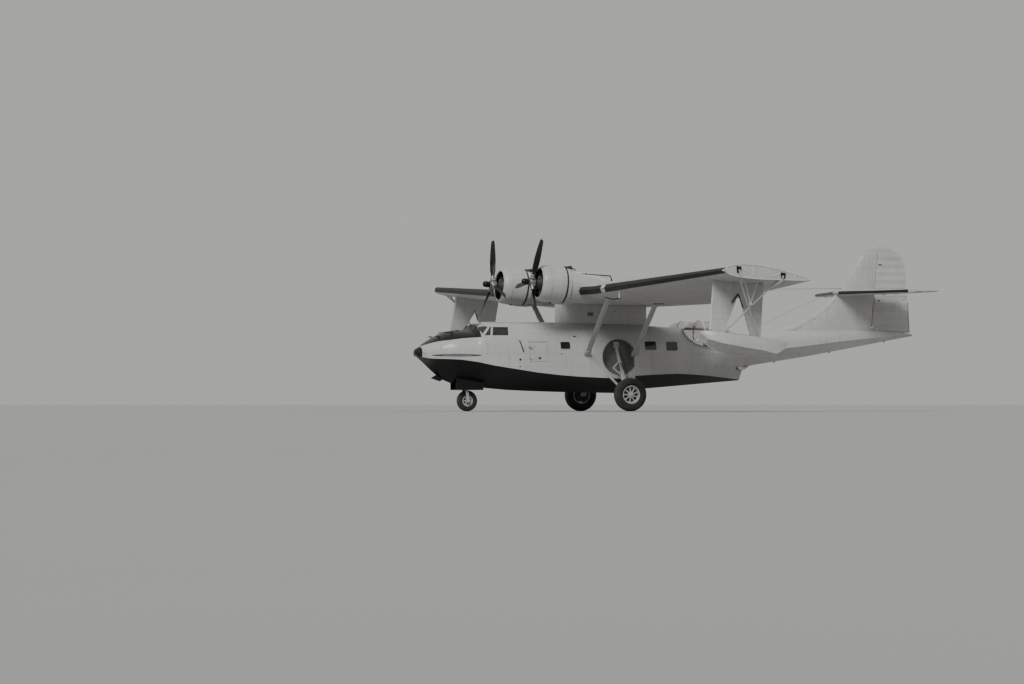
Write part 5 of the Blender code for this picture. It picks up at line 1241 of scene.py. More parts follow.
def add_engines():
    """Two-row radial engines in place of the plain ones: finned cylinders, push rods, leads and case."""
    profile = finned_profile(bpy.context.scene.boat_sizes.cylinder_fins)
    case_profile = ((-0.1505, 0.048), (-0.172, 0.050), (-0.176, 0.085), (-0.205, 0.120), (-0.240, 0.150),
                    (-0.262, 0.155), (-0.266, 0.178), (-0.300, 0.205), (-0.345, 0.226), (-0.350, 0.246),
                    (-0.372, 0.246), (-0.378, 0.262), (-1.155, 0.262))
    for word, side in SIDES:
        origin = hub_point(side)
        cylinders, rockers, rods, leads = [], [], [], []
        for along, shift in ((-0.48, 0.0), (-0.74, np.pi / 7)):
            for turn in full_turn(7) + shift:
                out = np.sin(turn) * Y_AXIS + np.cos(turn) * THRUST_UP
                cylinders.append(lathe(profile, origin + along * THRUST, out, 14))
                for lean in (-0.115, 0.115):
                    head = around(side, along + 0.055, 0.585, turn + lean)
                    rockers.append(bar(head - THRUST * 0.045, head + THRUST * 0.05, 0.055, 0.060, out))
                    foot = around(side, -0.395, 0.250, turn + lean * 0.5)
                    rods.append(rod(foot, around(side, along + 0.085, 0.560, turn + lean), 0.012, 8))
                plug = around(side, along + 0.09, 0.515, turn)
                outlet = around(side, -0.362, 0.262, turn)
                lead = arc_path(outlet, (outlet + plug) / 2 + THRUST * 0.03, plug, 6)
                leads.append(tube(lead, 0.006, 6, Y_AXIS + 0.3))
        # The cylinders and case take near-black finishes as painted shade inside the cowl.
        engine = make("engine_detail_" + word, cylinders, "cylinder_metal_painted_shade", sharp=25)
        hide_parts("engine_" + word)
        bolts = around(side, -0.2575, 0.166, full_turn(16))
        flange = around(side, -0.361, 0.236, full_turn(22))
        case = [lathe(case_profile, origin, THRUST, 32), domes(bolts, THRUST, 0.008),
                domes(flange, THRUST, 0.008)]
        make("crankcase_" + word, case + rockers, "cast_metal_painted_shade")
        boxes = [bar(*spots(side, ((-0.27, 0.20), (-0.36, 0.20)), turn), 0.075, 0.095,
                     around(side, 0, 1, turn) - origin) for turn in (0.42, -0.42)]
        make("push_rods_" + word, rods + boxes, "grey_fitting")
        harness = hoop(around(side, -0.362, 0.262, full_turn(56)), THRUST, 0.026, 0.026)
        make("ignition_leads_" + word, leads + [harness], "black_fitting")


def add_cowl_details():
    """Cowl bands and latches, closed flaps, the gap behind them painted dark as painted shade, the oil cooler
    with its mouth painted dark as painted shade, and the exhausts.
    """
    sizes = bpy.context.scene.boat_sizes
    opening = math.radians(sizes.flap_opening)
    hinge, reach = -0.985, 0.130
    for word, side in SIDES:
        origin = hub_point(side)
        bands = []
        for along in (-0.585, -0.965):
            profile = ((-0.012, 0.660), (-0.010, 0.6685), (0.010, 0.6685), (0.012, 0.660))
            bands.append(lathe(np.array(profile) + (along, 0), origin, THRUST, 64, True))
        for turn in np.radians((35, 105, 150, 210, 255, 325)):
            up = around(side, 0, 1, turn) - origin
            bands.append(bar(*spots(side, ((-0.60, 0.670), (-0.54, 0.670)), turn), 0.035, 0.010, up))
        make("cowl_bands_" + word, bands, "nacelle_paint")
        plates, hinges = [], []
        for middle in full_turn(sizes.cowl_flaps) + np.pi / sizes.cowl_flaps:
            half = np.pi / sizes.cowl_flaps - 0.012
            turn = np.linspace(middle - half, middle + half, 6)
            rim = [around(side, hinge - reach * share * math.cos(opening),
                          radius + reach * share * math.sin(opening), turn)
                   for radius, share in ((0.6675, 0.0), (0.6675, 0.5), (0.6675, 1.0),
                                         (0.6615, 1.0), (0.6615, 0.5), (0.6615, 0.0))]
            plates.append(loft(np.array(rim).transpose(1, 0, 2)))
            hinges.append(rod(*around(side, hinge, 0.668, turn[[1, 4]]), 0.006, 6))
        make("cowl_flaps_" + word, plates, "nacelle_paint")
        make("cowl_flap_hinges_" + word, hinges, "nacelle_paint")
        # Painted shade: a dark ring fills the gap behind the cowl flaps.
        profile = ((-1.122, 0.640), (-1.122, 0.6705), (-1.176, 0.6705), (-1.176, 0.640))
        make("cowl_gap_" + word, [lathe(profile, origin, THRUST, 64, True)], "soot_and_painted_shade")
        low = spots(side, ((-0.74, 0.608), (-0.80, 0.622), (-1.02, 0.628), (-1.32, 0.618), (-1.60, 0.580),
                           (-1.85, 0.520)), np.pi)
        widths = (0.10, 0.15, 0.165, 0.155, 0.11, 0.03)
        heights = (0.03, 0.060, 0.072, 0.070, 0.055, 0.02)
        make("oil_cooler_" + word, [strip(low, widths, heights, Z_AXIS, 20, 3)], "nacelle_paint")
        # Painted shade: a dark plug fills the cooler's mouth.
        mouth = spots(side, ((-0.715, 0.645), (-0.765, 0.650)), np.pi)
        make("oil_cooler_mouth_painted_shade_" + word, [strip(mouth, 0.105, 0.036, Z_AXIS, 20, 3)], "soot_and_painted_shade")
        stacks = []
        for turn in np.radians((20, -20)):
            path = spots(side, ((-1.13, 0.610), (-1.21, 0.660), (-1.30, 0.695), (-1.38, 0.705)), turn)
            stacks.append(tube(path, (0.040, 0.048, 0.050, 0.046), 14, (0.1, 0.2, 1)))
            shield = spots(side, ((-1.26, 0.660), (-1.40, 0.655), (-1.56, 0.630)), turn)
            stacks.append(strip(shield, (0.060, 0.050, 0.012), (0.030, 0.026, 0.010), Z_AXIS, 12, 3))
        make("exhaust_stacks_" + word, stacks, "soot_and_painted_shade")


def add_propeller_details():
    """Steel hub barrel with its clamp bolts, blade root sleeves, and the dome."""
    right = np.cross(THRUST, THRUST_UP)
    barrel = ((-0.142, 0.06), (-0.135, 0.120), (-0.110, 0.153), (-0.02, 0.158), (0.02, 0.158), (0.085, 0.153),
              (0.108, 0.135), (0.130, 0.105), (0.134, 0.060))
    sleeve = ((0.10, 0.080), (0.165, 0.088), (0.175, 0.096), (0.205, 0.096), (0.215, 0.084), (0.300, 0.070),
              (0.330, 0.062), (0.335, 0.02))
    dome = ((0.100, 0.100), (0.115, 0.110), (0.290, 0.110), (0.330, 0.102), (0.358, 0.082), (0.376, 0.050),
            (0.384, 0.018), (0.386, 0.001))
    for word, side in SIDES:
        body = "propeller_" + word
        origin = hub_point(side)
        shapes = [lathe(barrel, origin, THRUST, 30)]
        for turn in full_turn(3) + math.radians(BLADE_TURN[side]):
            out = math.cos(turn) * THRUST_UP - math.sin(turn) * right
            flat = np.cross(out, THRUST)
            bolts = [origin + out * 0.19 + flat * a + THRUST * b
                     for a in (-0.085, 0.085) for b in (-0.045, 0.045)]
            shapes += [lathe(sleeve, origin, out, 20), domes(np.array(bolts), out, 0.016, 0.022)]
        ring = circle(8) * 0.082
        studs = origin + 0.133 * THRUST + ring[:, :1] * THRUST_UP + ring[:, 1:] * right
        shapes.append(domes(studs, THRUST, 0.009))
        make("propeller_hub_" + word, shapes, "hub_metal", body)
        nose = lathe(dome, origin, THRUST, 26)
        make("propeller_dome_" + word, [nose], "black_fitting", body)


def middle_of(node):
    """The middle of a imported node's box."""
    low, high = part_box(node)
    return np.array((low + high) / 2)


def tyre_section(radius, half, rim, grooves):
    """A tyre's section: bead, bulged wall, and a crowned tread with square grooves.

    The wall is half a superellipse from bead to tread, of power 2.6 across and 3.2 up.
    """
    turn = np.linspace(-0.5, 0.5, 15) * np.pi
    low = rim + (radius - rim) * 0.28
    across = half * np.sign(np.sin(turn)) * np.abs(np.sin(turn)) ** (2 / 2.6)
    height = low + (radius - low) * np.cos(turn) ** (2 / 3.2)
    tread = np.linspace(-0.62, 0.62, 4 * grooves + 1) * half
    depth = np.tile((0.0, 0.0, 0.012, 0.012), grooves + 1)[:len(tread)]
    wall = np.column_stack([across, height])
    left, right = wall[across < -0.64 * half], wall[across > 0.64 * half]
    middle = np.column_stack([tread, np.interp(tread, across, height) - depth])
    bead = np.array([(0.66 * half, rim + 0.001), (-0.66 * half, rim + 0.001)])
    return np.concatenate([left, middle, right, bead])


def add_tyres():
    """Grooved tyres in place of the plain ones."""
    for word, _ in SIDES:
        shape = lathe(tyre_section(0.598, 0.199, 0.331, 3), middle_of("main_tyre_" + word), Y_AXIS, 72, True)
        tyre = make("main_tyre_tread_" + word, [shape], "main_rubber", "main_wheel_" + word)
        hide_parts("main_tyre_" + word)
    shape = lathe(tyre_section(0.379, 0.129, 0.201, 3), middle_of("nose_tyre"), Y_AXIS, 60, True)
    tyre = make("nose_tyre_tread", [shape], "nose_rubber", "nose_wheel")
    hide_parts("nose_tyre")


def in_wheel(turn):
    """Unit vectors in a wheel's plane at angles counted from straight ahead."""
    turn = np.asarray(turn, float)[..., None]
    return np.cos(turn) * X_AXIS + np.sin(turn) * Z_AXIS


def spoked_hub(centre, side, rim, half, spokes):
    """About the axle: a rim well, tapered spokes with open windows between, a bolted cap; then the drum."""
    out = side * Y_AXIS
    well = np.array(((-1.0, -0.020), (-1.0, 0.010), (-0.86, 0.012), (-0.80, -0.002), (0.80, -0.002),
                     (0.86, 0.012), (1.0, 0.010), (1.0, -0.020), (0.70, -0.045), (0.30, -0.055),
                     (-0.70, -0.045)))
    drum = np.array(((-0.95, 0.04 / rim), (-0.95, 0.78), (0.02, 0.80), (0.06, 0.74), (0.08, 0.05 / rim)))
    cap = np.array(((0.0, 0.30), (0.72, 0.30), (0.80, 0.27), (0.84, 0.20), (0.98, 0.18), (1.02, 0.14),
                    (1.03, 0.001 / rim)))
    parts = [lathe(well * (half, 1) + (0, rim), centre, out, 48, True)]
    for spoke in in_wheel(full_turn(spokes)):
        path = centre + np.array([out * half * 0.62 + spoke * rim * 0.22,
                                  out * half * 0.52 + spoke * rim * 0.58,
                                  out * half * 0.42 + spoke * (rim - 0.040)])
        parts.append(strip(path, (0.034, 0.022, 0.036), (0.030, 0.024, 0.022), out, 10, 3))
    bolts = centre + out * half * 0.81 + rim * 0.245 * in_wheel(full_turn(spokes) + np.pi / spokes)
    parts += [lathe(cap * (half, rim), centre, out, 28), domes(bolts, out, rim * 0.030)]
    return parts, [lathe(drum * (half, rim), centre, out, 40)]


def add_wheel_hubs():
    """Spoked hubs in place of the plain ones, each with its brake drum."""
    spokes = bpy.context.scene.boat_sizes.wheel_spokes
    for word, side in SIDES:
        light, dark = spoked_hub(middle_of("main_hub_" + word), side, 0.318, 0.135, spokes)
        hub = make("main_hub_spokes_" + word, light, "gear_paint", "main_wheel_" + word)
        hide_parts("main_hub_" + word)
        make("main_brake_drum_" + word, dark, "cast_metal_painted_shade", "main_wheel_" + word)
    centre = middle_of("nose_hub")
    light, dark = spoked_hub(centre, 1, 0.188, 0.086, 6)
    other, _ = spoked_hub(centre, -1, 0.188, 0.086, 6)
    hub = make("nose_hub_spokes", light + other[1:], "gear_paint", "nose_wheel")
    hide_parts("nose_hub")
    make("nose_hub_drum", dark, "cast_metal_painted_shade", "nose_wheel")


def add_gear_details():
    """Polished oleo rods, scissor links, brake lines, the wells' ribs and walls, and the taxi light."""
    for word, side in SIDES:
        knuckle = np.array([WHEEL_X, side * 2.24, 0.60])
        well = np.array([WHEEL_X, side * 1.095, 2.40])
        leg = well - knuckle
        along = unit(leg)
        start, end = knuckle + leg * 0.45, knuckle + leg * 0.62
        middle = (start + end) / 2
        make("main_oleo_" + word, [rod(start, end, 0.0675, 24)], "chrome")
        collar = ((0, 0.066), (0.0, 0.098), (0.05, 0.098), (0.05, 0.066))
        shapes = [lathe(collar, knuckle + leg * share, along, 24, True) for share in (0.435, 0.62)]
        low, knee, high = start - along * 0.10, middle + (0.30, 0, 0), end + along * 0.06
        for foot, offset in ((low, 0.08), (high, 0.06)):
            for y in (-0.05, 0.05):
                ends = (foot + (offset, y, 0), knee + (0, y * 0.3, 0))
                shapes.append(bar(*(ends if foot is low else ends[::-1]), 0.022, 0.05, along))
        shapes.append(rod(knee - (0, 0.05, 0), knee + (0, 0.05, 0), 0.018))
        make("main_scissor_links_" + word, shapes, "gear_paint")
        hose = arc_path(knuckle + (-0.08, side * 0.02, 0.02), middle + (-0.19, 0, -0.03),
                        well + (-0.07, 0, -0.10), 16)
        make("main_brake_line_" + word, [tube(hose, 0.009, 8, X_AXIS + 0.1)], "cable_black")
        floor = np.array([WHEEL_X, side * 1.038, 1.95])
        ribs = [bar(floor + spoke * 0.20, floor + spoke * 0.62, 0.03, 0.018, Y_AXIS)
                for spoke in in_wheel(full_turn(8) + np.pi / 8)]
        ribs.append(hoop(floor + 0.22 * in_wheel(full_turn(40)), (0, side, 0), 0.03, 0.018))
        make("well_stiffeners_" + word, ribs, "well_primer")
        wall = ((1.025, 1.585), (1.025, 2.315), (1.40, 2.315), (1.475, 1.95), (1.475, 1.585))
        plate = slab([(1.857, side * y, z) for y, z in wall], (0.006, 0, 0))
        make("well_rear_wall_" + word, [plate], "well_primer")
    make("nose_oleo", [rod((7.81, 0, 0.96), (7.81, 0, 1.14), 0.0635, 24)], "chrome")
    light = np.array([7.93, 0.0, 1.14])
    shell = ((-0.09, 0.02), (-0.07, 0.05), (-0.02, 0.075), (0.0, 0.08), (0.01, 0.076), (0.0, 0.070))
    lens = ((-0.01, 0.068), (0.006, 0.066), (0.014, 0.04), (0.017, 0.001))
    arm = rod(light - (0.08, 0, 0), (7.84, 0, 1.16), 0.018)
    make("taxi_light", [lathe(shell, light, (1, 0, 0.05), 22), arm], "grey_fitting")
    make("taxi_light_lens", [lathe(lens, light, (1, 0, 0.05), 20)], "lamp_lens")


def float_section(x):
    """Height of keel and chine, half-beam and height of deck of a float at x, from its own stations."""
    rows = np.array(((1.04, 2.28, 2.30, 0.08, 2.36), (1.23, 2.02, 2.12, 0.25, 2.42),
                     (1.54, 1.80, 1.96, 0.36, 2.48), (2.03, 1.83, 2.08, 0.44, 2.55),
                     (2.73, 1.89, 2.18, 0.47, 2.63), (3.53, 2.02, 2.32, 0.42, 2.72),
                     (3.98, 2.28, 2.46, 0.26, 2.75), (4.16, 2.62, 2.66, 0.05, 2.72)))
    return [np.interp(x, rows[:, 0], rows[:, column]) for column in (1, 2, 3, 4)]


def add_float_details():
    """Keel strip, chine rails, cleats and plates, the panel's edge, black bars painted as shade along the
    panel's head and round its opening, and the braces' link.
    """
    x = np.linspace(1.10, 4.10, 25)
    keel, chine, half, _ = float_section(x)
    for word, side in SIDES:
        y = side * FLOAT_Y
        rails = [strip(np.column_stack([x, np.full(25, y), keel - 0.004]), 0.018, 0.014)]
        for edge in (1, -1):
            rails.append(strip(np.column_stack([x, y + edge * (half + 0.002), chine]), 0.012, 0.014))
        make("float_rails_" + word, rails, "float_paint")
        cleats = []
        for place in (3.75, 1.35):
            foot = np.array([place, y, float_section(place)[3]])
            cleats.append(rod(foot - (0, 0, 0.02), foot + (0, 0, 0.04), 0.014))
            cleats.append(bar(foot + (-0.07, 0, 0.045), foot + (0.07, 0, 0.045), 0.024, 0.018))
        plate = ((-0.02, 0.075), (0.004, 0.075), (0.008, 0.065), (0.009, 0.001))
        for place in (3.2, 2.55, 1.75):
            centre = (place, y + side * 0.12, float_section(place)[3] - 0.035)
            cleats.append(lathe(plate, centre, (0.05, side * 0.25, 1), 20))
        make("float_deck_fittings_" + word, cleats, "light_fitting")
        edge = bar((3.51, side * 13.35, 4.62), (3.78, side * 13.66, 2.70), 0.03, 0.10, X_AXIS)
        make("panel_edge_strip_" + word, [edge], "light_fitting")
        # Painted shade: black bars along the recess at the panel's head and round the edges of its opening.
        joints = [bar((3.668, side * 13.60, 4.501), (2.699, side * 13.62, 4.42), 0.035, 0.035),
                  bar((2.479, side * 13.60, 4.40), (1.862, side * 13.60, 4.338), 0.035, 0.035)]
        apex = (2.751, side * 13.585, 3.975)
        joints += [bar(apex, (end, side * 13.62, z), 0.055, 0.030)
                   for end, z in ((2.994, 3.67), (2.584, 3.50))]
        make("panel_head_painted_shade_" + word, joints, "black_fitting")
        cross = np.array([2.68, side * 14.52, 3.62])
        boss = lathe(((-0.03, 0.02), (-0.02, 0.05), (0.02, 0.05), (0.03, 0.02)), cross, Y_AXIS, 14)
        link = [rod((head, side * 14.587, 4.47), cross, 0.020) for head in (2.936, 2.42)]
        make("float_brace_link_" + word, link + [boss], "light_fitting")


def add_tail_details():
    """Trim tabs, hinge brackets, the fin's fillet and horn, and the rudder's heel, dark lines painted as
    shade of its gaps, and lamps.
    """
    widths, heights = (0.010, 0.016, 0.018, 0.010), (0.010, 0.014, 0.016, 0.008)
    for word, side in SIDES:
        grid = patch_grid((-9.24, side * 1.0, 3.35), (0, 0, 0.85), (0.20, 0, 0), 8, 2)
        tab = laid(["rudder"], grid, (0, -side, 0), 0.005, 0.001)
        make("rudder_tab_" + word, [tab], "fin_paint", "rudder")
        grid = patch_grid((-9.30, side * 1.0, 5.5), (0, side * 1.1, 0), (0.17, 0, 0), 8, 2)
        tab = laid(["elevators"], grid, (0, 0, -1), 0.005, 0.001)
        make("elevator_tab_" + word, [tab], "tailplane_paint", "elevators")
        brackets = []
        for y in (0.55, 1.6, 2.7, 3.8):
            start = [(x, side * y, 3.0) for x in (-7.95, -7.80)]
            foot, _ = skin_at(["stabilizer_" + word], start, (0, 0, 1))
            path = [foot[1] + (0.02, 0, 0.01), foot[1] - (0.03, 0, 0.012), foot[0] - (0.0, 0, 0.022),
                    foot[0] - (0.03, 0, -0.004)]
            brackets.append(strip(path, widths, heights, Y_AXIS, 8, 3))
        make("elevator_brackets_" + word, brackets, "tailplane_paint")
    add_fin_fillet()
    add_rudder_details()


def add_fin_fillet():
    """The fillet that sweeps up in front of the fin: an upright oval set back from its front edge."""
    edge = np.array([(-6.80, 4.470), (-6.61, 4.263), (-6.46, 4.086), (-6.25, 3.888), (-6.04, 3.729),
                     (-5.77, 3.560), (-5.30, 3.322), (-4.83, 3.140), (-4.43, 3.020), (-4.05, 2.93)])
    depth = np.array([0.03, 0.10, 0.15, 0.19, 0.21, 0.21, 0.18, 0.14, 0.09, 0.03])
    ahead = unit(np.gradient(edge, axis=0))
    x, z = (edge + depth[:, None] * np.stack([ahead[:, 1], -ahead[:, 0]], -1)).T
    fillet = strip(np.stack([x, 0 * x, z], -1), np.linspace(0.045, 0.11, len(edge)), depth, Z_AXIS, 20, 2)
    make("fin_fillet", [fillet], "fin_paint")


def add_rudder_details():
    """The rudder's heel with black lines along its foot and trailing edge painted as shade of the gaps, the
    horn ahead of it on the fin, its brackets and its lamps.
    """
    half = ((-8.20, 0.045), (-8.45, 0.055), (-9.00, 0.038), (-9.62, 0.010))
    outline = np.array(half + tuple((x, -y) for x, y in half[::-1]))
    slope = 2.985 + (outline[:, 0] + 8.20) * 0.046
    rings = [np.column_stack([outline, height]) for height in (np.full(8, 3.112), slope)]
    make("rudder_heel", [loft(rings)], "rudder_fabric", "rudder")
    # Painted shade: thin black rods where the gaps at the heel and trailing edge fall in shade.
    strips = [rod((-8.20, 0, 2.985), (-9.61, 0, 2.921), 0.014, 8),
              rod((-9.625, 0, 2.925), (-9.560, 0, 4.03), 0.014, 8)]
    make("rudder_painted_shade_lines", strips, "black_fitting", "rudder")
    front, _ = skin_at(["fin"], [(-5.0, 0.0, 5.376)], (-1, 0, 0))
    horn = rod(front[0] - (0.02, 0, 0), front[0] + (0.10, 0, 0.035), 0.022, 10, 0.012)
    make("fin_horn", [horn], "light_fitting")
    shapes = []
    for x, z, half, tall in ((-8.41, 5.42, 0.065, 0.05), (-8.37, 4.092, 0.035, 0.07)):
        for side in (1, -1):
            place, _ = skin_at(["rudder", "fin"], [(x, side, z)], (0, -side, 0))
            shapes.append(bar(place[0] + (half, 0, 0), place[0] - (half, 0, 0), tall, 0.03))
    make("rudder_brackets", shapes, "black_fitting", "rudder")
    lamp = ((-0.01, 0.030), (0.03, 0.032), (0.05, 0.022), (0.058, 0.001))
    lamps = [lathe(lamp, (-9.36, side * 0.012, 4.167), (0, side, 0), 12) for side in (1, -1)]
    make("tail_lamp", lamps, "lamp_lens", "rudder")


def add_rigging():
    """The aerial wires, each straight from the fin's edge to the wing or to a short mast on the deck."""
    wire = 0.0035
    landed, _ = skin_at(["fin"], [(-5.0, 0.0, 4.535)], (-1, 0, 0))
    deck, _ = skin_at(["hull_tail"], [(-3.564, 0.0, 6.0)], (0, 0, -1))
    mast_top = deck[0] + (-0.01, 0, 0.20)
    eye = landed[0] + (0.04, 0, 0)
    shapes = [rod(landed[0] - (0.03, 0, 0), landed[0] + (0.05, 0, 0), 0.014, 8), rod(eye, mast_top, wire, 6)]
    for side in (1, -1):
        shapes.append(rod(eye, (0.03, side * 5.5, 4.36), wire, 6))
        shapes.append(rod((0.10, side * 5.5, 4.37), (0.00, side * 5.5, 4.36), 0.014, 8))
    mast = rod(deck[0] - (0, 0, 0.01), mast_top + (0, 0, 0.02), 0.018, 10, 0.012)
    make("deck_mast", [mast], "light_fitting")
    make("aerial_wires", shapes, "cable_black")


# The studio.

def build_stage():
    """A pale floor far wider than the aircraft, two soft lights, an even sky, and the photograph's camera."""
    scene = bpy.context.scene
    sizes = scene.boat_sizes
    ring = circle(96)
    rings = [np.column_stack([ring * radius, np.full(96, height)]) for radius, height in (
        (40.0, 0.0), (700.0, 0.0), (700.0, -0.5), (40.0, -0.5))]
    points, blocks = loft(rings)
    mesh = bpy.data.meshes.new("floor")
    mesh.from_pydata(points.tolist(), [], [face for block in blocks for face in block.tolist()])
    floor = bpy.data.objects.new("floor", mesh)
    scene.collection.objects.link(floor)
    shader, place = start_finish("floor_paint", 0.9, specular=0.15)
    clouds = noise(place, 0.15, Detail=3.0)
    set_surface(shader, mix(clouds, grey(sizes.floor_tone), grey(sizes.floor_tone + 0.02)))
    mesh.materials.append(bpy.data.materials["floor_paint"])
    world = bpy.data.worlds.new("sky")
    world.use_nodes = True
    background = world.node_tree.nodes["Background"]
    background.inputs["Color"].default_value = grey(0.92)
    background.inputs["Strength"].default_value = sizes.sky_strength
    scene.world = world
    for name, aim, power, spread in (("key", (-0.45, -0.62, -0.64), sizes.key_power, 24.0),
                                     ("fill", (0.65, 0.45, -0.45), sizes.key_power * 0.22, 40.0)):
        data = bpy.data.lights.new(name, "SUN")
        data.energy, data.angle = power, math.radians(spread)
        lamp = bpy.data.objects.new(name, data)
        lamp.rotation_euler = Vector(aim).to_track_quat("-Z", "Y").to_euler()
        scene.collection.objects.link(lamp)
    bearing = math.radians(sizes.camera_bearing)
    aim = Vector((HUB_X, 0.0, sizes.aim_height))
    away = Vector((math.sin(bearing), math.cos(bearing), 0.0)) * sizes.camera_distance
    camera_data = bpy.data.cameras.new("camera")
    camera_data.sensor_width = 36.0
    camera_data.lens = sizes.camera_lens
    camera_data.clip_end = 3000.0
    camera = bpy.data.objects.new("camera", camera_data)
    camera.location = (aim.x + away.x, aim.y + away.y, sizes.camera_height)
    camera.rotation_euler = (aim - camera.location).to_track_quat("-Z", "Y").to_euler()
    scene.collection.objects.link(camera)
    scene.camera = camera


# The add-on's properties, operators and panel.

class BoatSizes(bpy.types.PropertyGroup):
    """Sizes and counts that a user would change."""
    window_frame: FloatProperty(name="Window frame", description="Width of the side windows' hoops",
                                default=0.035, unit="LENGTH")
    blade_tip: FloatProperty(name="Blade tip", description="Length of the pale tips of the blades",
                             default=0.10, unit="LENGTH")
    cylinder_fins: IntProperty(name="Cylinder fins", description="Cooling fins on each cylinder's barrel",
                               default=9)
    cowl_flaps: IntProperty(name="Cowl flaps", description="Flaps round the rear of each cowl", default=16)
    flap_opening: FloatProperty(name="Flap opening", description="Degrees that the cowl flaps stand open",
                                default=0.5)
    wheel_spokes: IntProperty(name="Wheel spokes", description="Spokes in each main wheel", default=9)
    floor_tone: FloatProperty(name="Floor tone", description="Brightness of the studio floor", default=0.37)
    sky_strength: FloatProperty(name="Sky strength", description="Brightness of the even sky", default=0.50)
    key_power: FloatProperty(name="Key lamp", description="Strength of the soft main light", default=2.2)
    camera_bearing: FloatProperty(name="Camera bearing", description="Degrees ahead of the port beam",
                                  default=19.525)
    camera_distance: FloatProperty(name="Camera distance", description="From the propellers' plane",
                                   default=178.333, unit="LENGTH")
    camera_height: FloatProperty(name="Camera height", description="Of the lens above the floor",
                                 default=0.30, unit="LENGTH")
    aim_height: FloatProperty(name="Aim height", description="Height of the image's middle at the propellers",
                              default=2.50, unit="LENGTH")
    camera_lens: FloatProperty(name="Lens", description="Focal length on a 36 mm sensor", default=173.97,
                               unit="CAMERA")


class BoatColours(bpy.types.PropertyGroup):
    """The three paints."""
    paint: FloatVectorProperty(name="Paint", description="Light paint of hull and wing", subtype="COLOR",
                               size=4, default=(0.46, 0.458, 0.449, 1.0), min=0, max=1)
    black: FloatVectorProperty(name="Black", description="Nose cap, leading edges and propellers",
                               subtype="COLOR", size=4, default=(0.005, 0.005, 0.005, 1.0), min=0, max=1)
    bottom: FloatVectorProperty(name="Bottom", description="Planing bottoms", subtype="COLOR", size=4,
                                default=(0.006, 0.006, 0.006, 1.0), min=0, max=1)


class BOAT_OT_finishes(bpy.types.Operator):
    """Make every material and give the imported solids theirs"""
    bl_idname = "boat.finishes"
    bl_label = "Finishes"

    def execute(self, context):
        for build in (build_seam_group, build_rivet_group, build_grime_group, build_rib_group,
                      build_brush_group):
            build()
        build_finishes()
        finish_solids()
        return {"FINISHED"}


class BOAT_OT_side_windows(bpy.types.Operator):
    """Cabin and waist windows"""
    bl_idname = "boat.side_windows"
    bl_label = "Side windows"

    def execute(self, context):
        add_side_windows()
        return {"FINISHED"}


class BOAT_OT_door_details(bpy.types.Operator):
    """Handle, straps and rain strip of the entry door"""
    bl_idname = "boat.door_details"
    bl_label = "Door details"

    def execute(self, context):
        add_door_details()
        return {"FINISHED"}


class BOAT_OT_hull_details(bpy.types.Operator):
    """Louvre, fairings, scoops and rings of the hull"""
    bl_idname = "boat.hull_details"
    bl_label = "Hull details"

    def execute(self, context):
        add_hull_details()
        return {"FINISHED"}


class BOAT_OT_bow_fittings(bpy.types.Operator):
    """Bow eye, cleats and mooring hatch"""
    bl_idname = "boat.bow_fittings"
    bl_label = "Bow fittings"

    def execute(self, context):
        add_bow_fittings()
        return {"FINISHED"}


class BOAT_OT_cockpit_details(bpy.types.Operator):
    """Wipers, dials and throttles"""
    bl_idname = "boat.cockpit_details"
    bl_label = "Cockpit details"

    def execute(self, context):
        add_cockpit_details()
        return {"FINISHED"}


class BOAT_OT_seat_cushions(bpy.types.Operator):
    """Crew seats' cushions"""
    bl_idname = "boat.seat_cushions"
    bl_label = "Seat cushions"

    def execute(self, context):
        add_seat_cushions()
        return {"FINISHED"}


class BOAT_OT_blister_details(bpy.types.Operator):
    """Rims of the blisters"""
    bl_idname = "boat.blister_details"
    bl_label = "Blister rims"

    def execute(self, context):
        add_blister_details()
        return {"FINISHED"}


class BOAT_OT_wing_details(bpy.types.Operator):
    """Lights, probes, end ribs, brackets and hatches of the wing"""
    bl_idname = "boat.wing_details"
    bl_label = "Wing details"

    def execute(self, context):
        add_wing_details()
        return {"FINISHED"}


class BOAT_OT_struts_and_pylon(bpy.types.Operator):
    """Strut cuffs and the pylon's small parts"""
    bl_idname = "boat.struts_and_pylon"
    bl_label = "Struts and pylon"

    def execute(self, context):
        add_strut_cuffs()
        add_pylon_details()
        return {"FINISHED"}


class BOAT_OT_engines(bpy.types.Operator):
    """Two-row radial engines"""
    bl_idname = "boat.engines"
    bl_label = "Engines"

    def execute(self, context):
        add_engines()
        return {"FINISHED"}


class BOAT_OT_cowls(bpy.types.Operator):
    """Cowl bands, flaps, oil cooler and exhausts"""
    bl_idname = "boat.cowls"
    bl_label = "Cowls"

    def execute(self, context):
        add_cowl_details()
        return {"FINISHED"}


class BOAT_OT_propellers(bpy.types.Operator):
    """Propeller hubs and domes"""
    bl_idname = "boat.propellers"
    bl_label = "Propellers"

    def execute(self, context):
        add_propeller_details()
        return {"FINISHED"}


class BOAT_OT_wheels(bpy.types.Operator):
    """Grooved tyres and spoked hubs"""
    bl_idname = "boat.wheels"
    bl_label = "Wheels"

    def execute(self, context):
        add_tyres()
        add_wheel_hubs()
        return {"FINISHED"}


class BOAT_OT_gear_details(bpy.types.Operator):
    """Oleos, links and lines of the landing gear"""
    bl_idname = "boat.gear_details"
    bl_label = "Landing gear details"

    def execute(self, context):
        add_gear_details()
        return {"FINISHED"}


class BOAT_OT_float_details(bpy.types.Operator):
    """Rails, cleats and links of the wing floats"""
    bl_idname = "boat.float_details"
    bl_label = "Float details"

    def execute(self, context):
        add_float_details()
        return {"FINISHED"}


class BOAT_OT_tail_details(bpy.types.Operator):
    """Tabs and brackets of the tail"""
    bl_idname = "boat.tail_details"
    bl_label = "Tail details"

    def execute(self, context):
        add_tail_details()
        return {"FINISHED"}


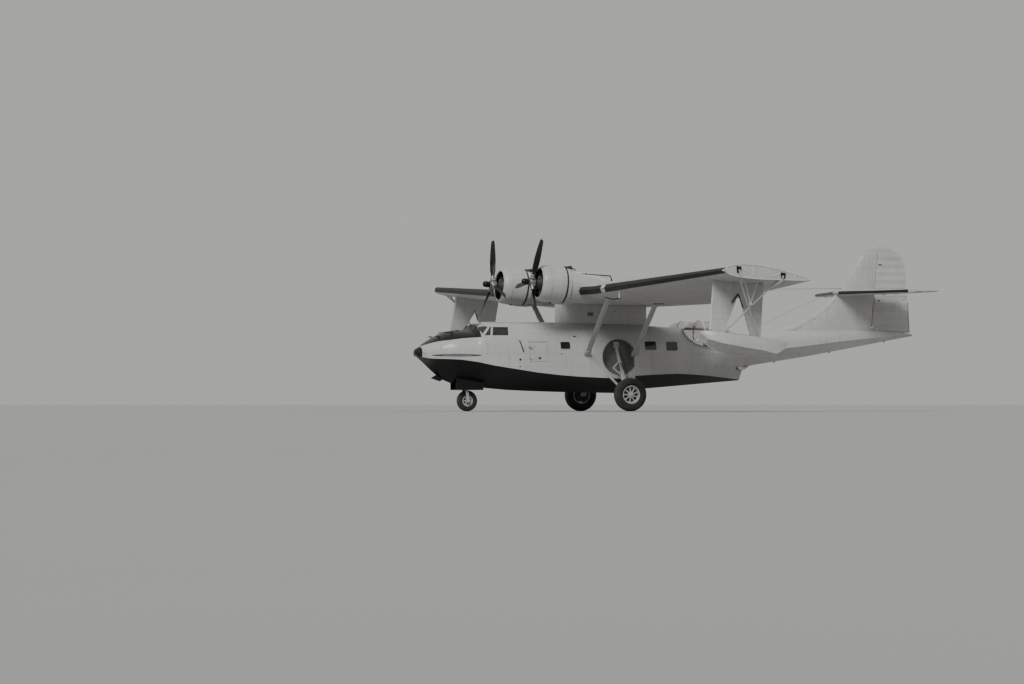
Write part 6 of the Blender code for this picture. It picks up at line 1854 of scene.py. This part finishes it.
class BOAT_OT_rigging(bpy.types.Operator):
    """Aerial mast and wires"""
    bl_idname = "boat.rigging"
    bl_label = "Aerials"

    def execute(self, context):
        add_rigging()
        return {"FINISHED"}


class BOAT_OT_stage(bpy.types.Operator):
    """Floor, sky, lamps and camera"""
    bl_idname = "boat.stage"
    bl_label = "Stage"

    def execute(self, context):
        build_stage()
        return {"FINISHED"}


OPERATORS = (BOAT_OT_finishes, BOAT_OT_side_windows, BOAT_OT_door_details, BOAT_OT_hull_details,
             BOAT_OT_bow_fittings, BOAT_OT_cockpit_details, BOAT_OT_seat_cushions, BOAT_OT_blister_details,
             BOAT_OT_wing_details, BOAT_OT_struts_and_pylon, BOAT_OT_engines, BOAT_OT_cowls,
             BOAT_OT_propellers, BOAT_OT_wheels, BOAT_OT_gear_details, BOAT_OT_float_details,
             BOAT_OT_tail_details, BOAT_OT_rigging, BOAT_OT_stage)


class BOAT_PT_sidebar(bpy.types.Panel):
    """The flying boat's operators and sizes"""
    bl_idname = "BOAT_PT_sidebar"
    bl_label = "Flying boat"
    bl_space_type = "VIEW_3D"
    bl_region_type = "UI"
    bl_category = "Flying boat"

    def draw(self, context):
        for operator in OPERATORS:
            self.layout.operator(operator.bl_idname)
        for group in (context.scene.boat_colours, context.scene.boat_sizes):
            for name in group.__annotations__:
                self.layout.prop(group, name)


CLASSES = (BoatSizes, BoatColours) + OPERATORS + (BOAT_PT_sidebar,)


def register():
    """Register the classes and hang the property groups on the scene."""
    for kind in CLASSES:
        bpy.utils.register_class(kind)
    bpy.types.Scene.boat_sizes = PointerProperty(type=BoatSizes)
    bpy.types.Scene.boat_colours = PointerProperty(type=BoatColours)


def unregister():
    """Take the property groups and classes away again."""
    del bpy.types.Scene.boat_colours
    del bpy.types.Scene.boat_sizes
    for kind in reversed(CLASSES):
        bpy.utils.unregister_class(kind)


def main():
    """Register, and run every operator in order."""
    register()
    for operator in OPERATORS:
        getattr(bpy.ops.boat, operator.bl_idname.split(".")[1])()


if __name__ == "__main__":
    main()
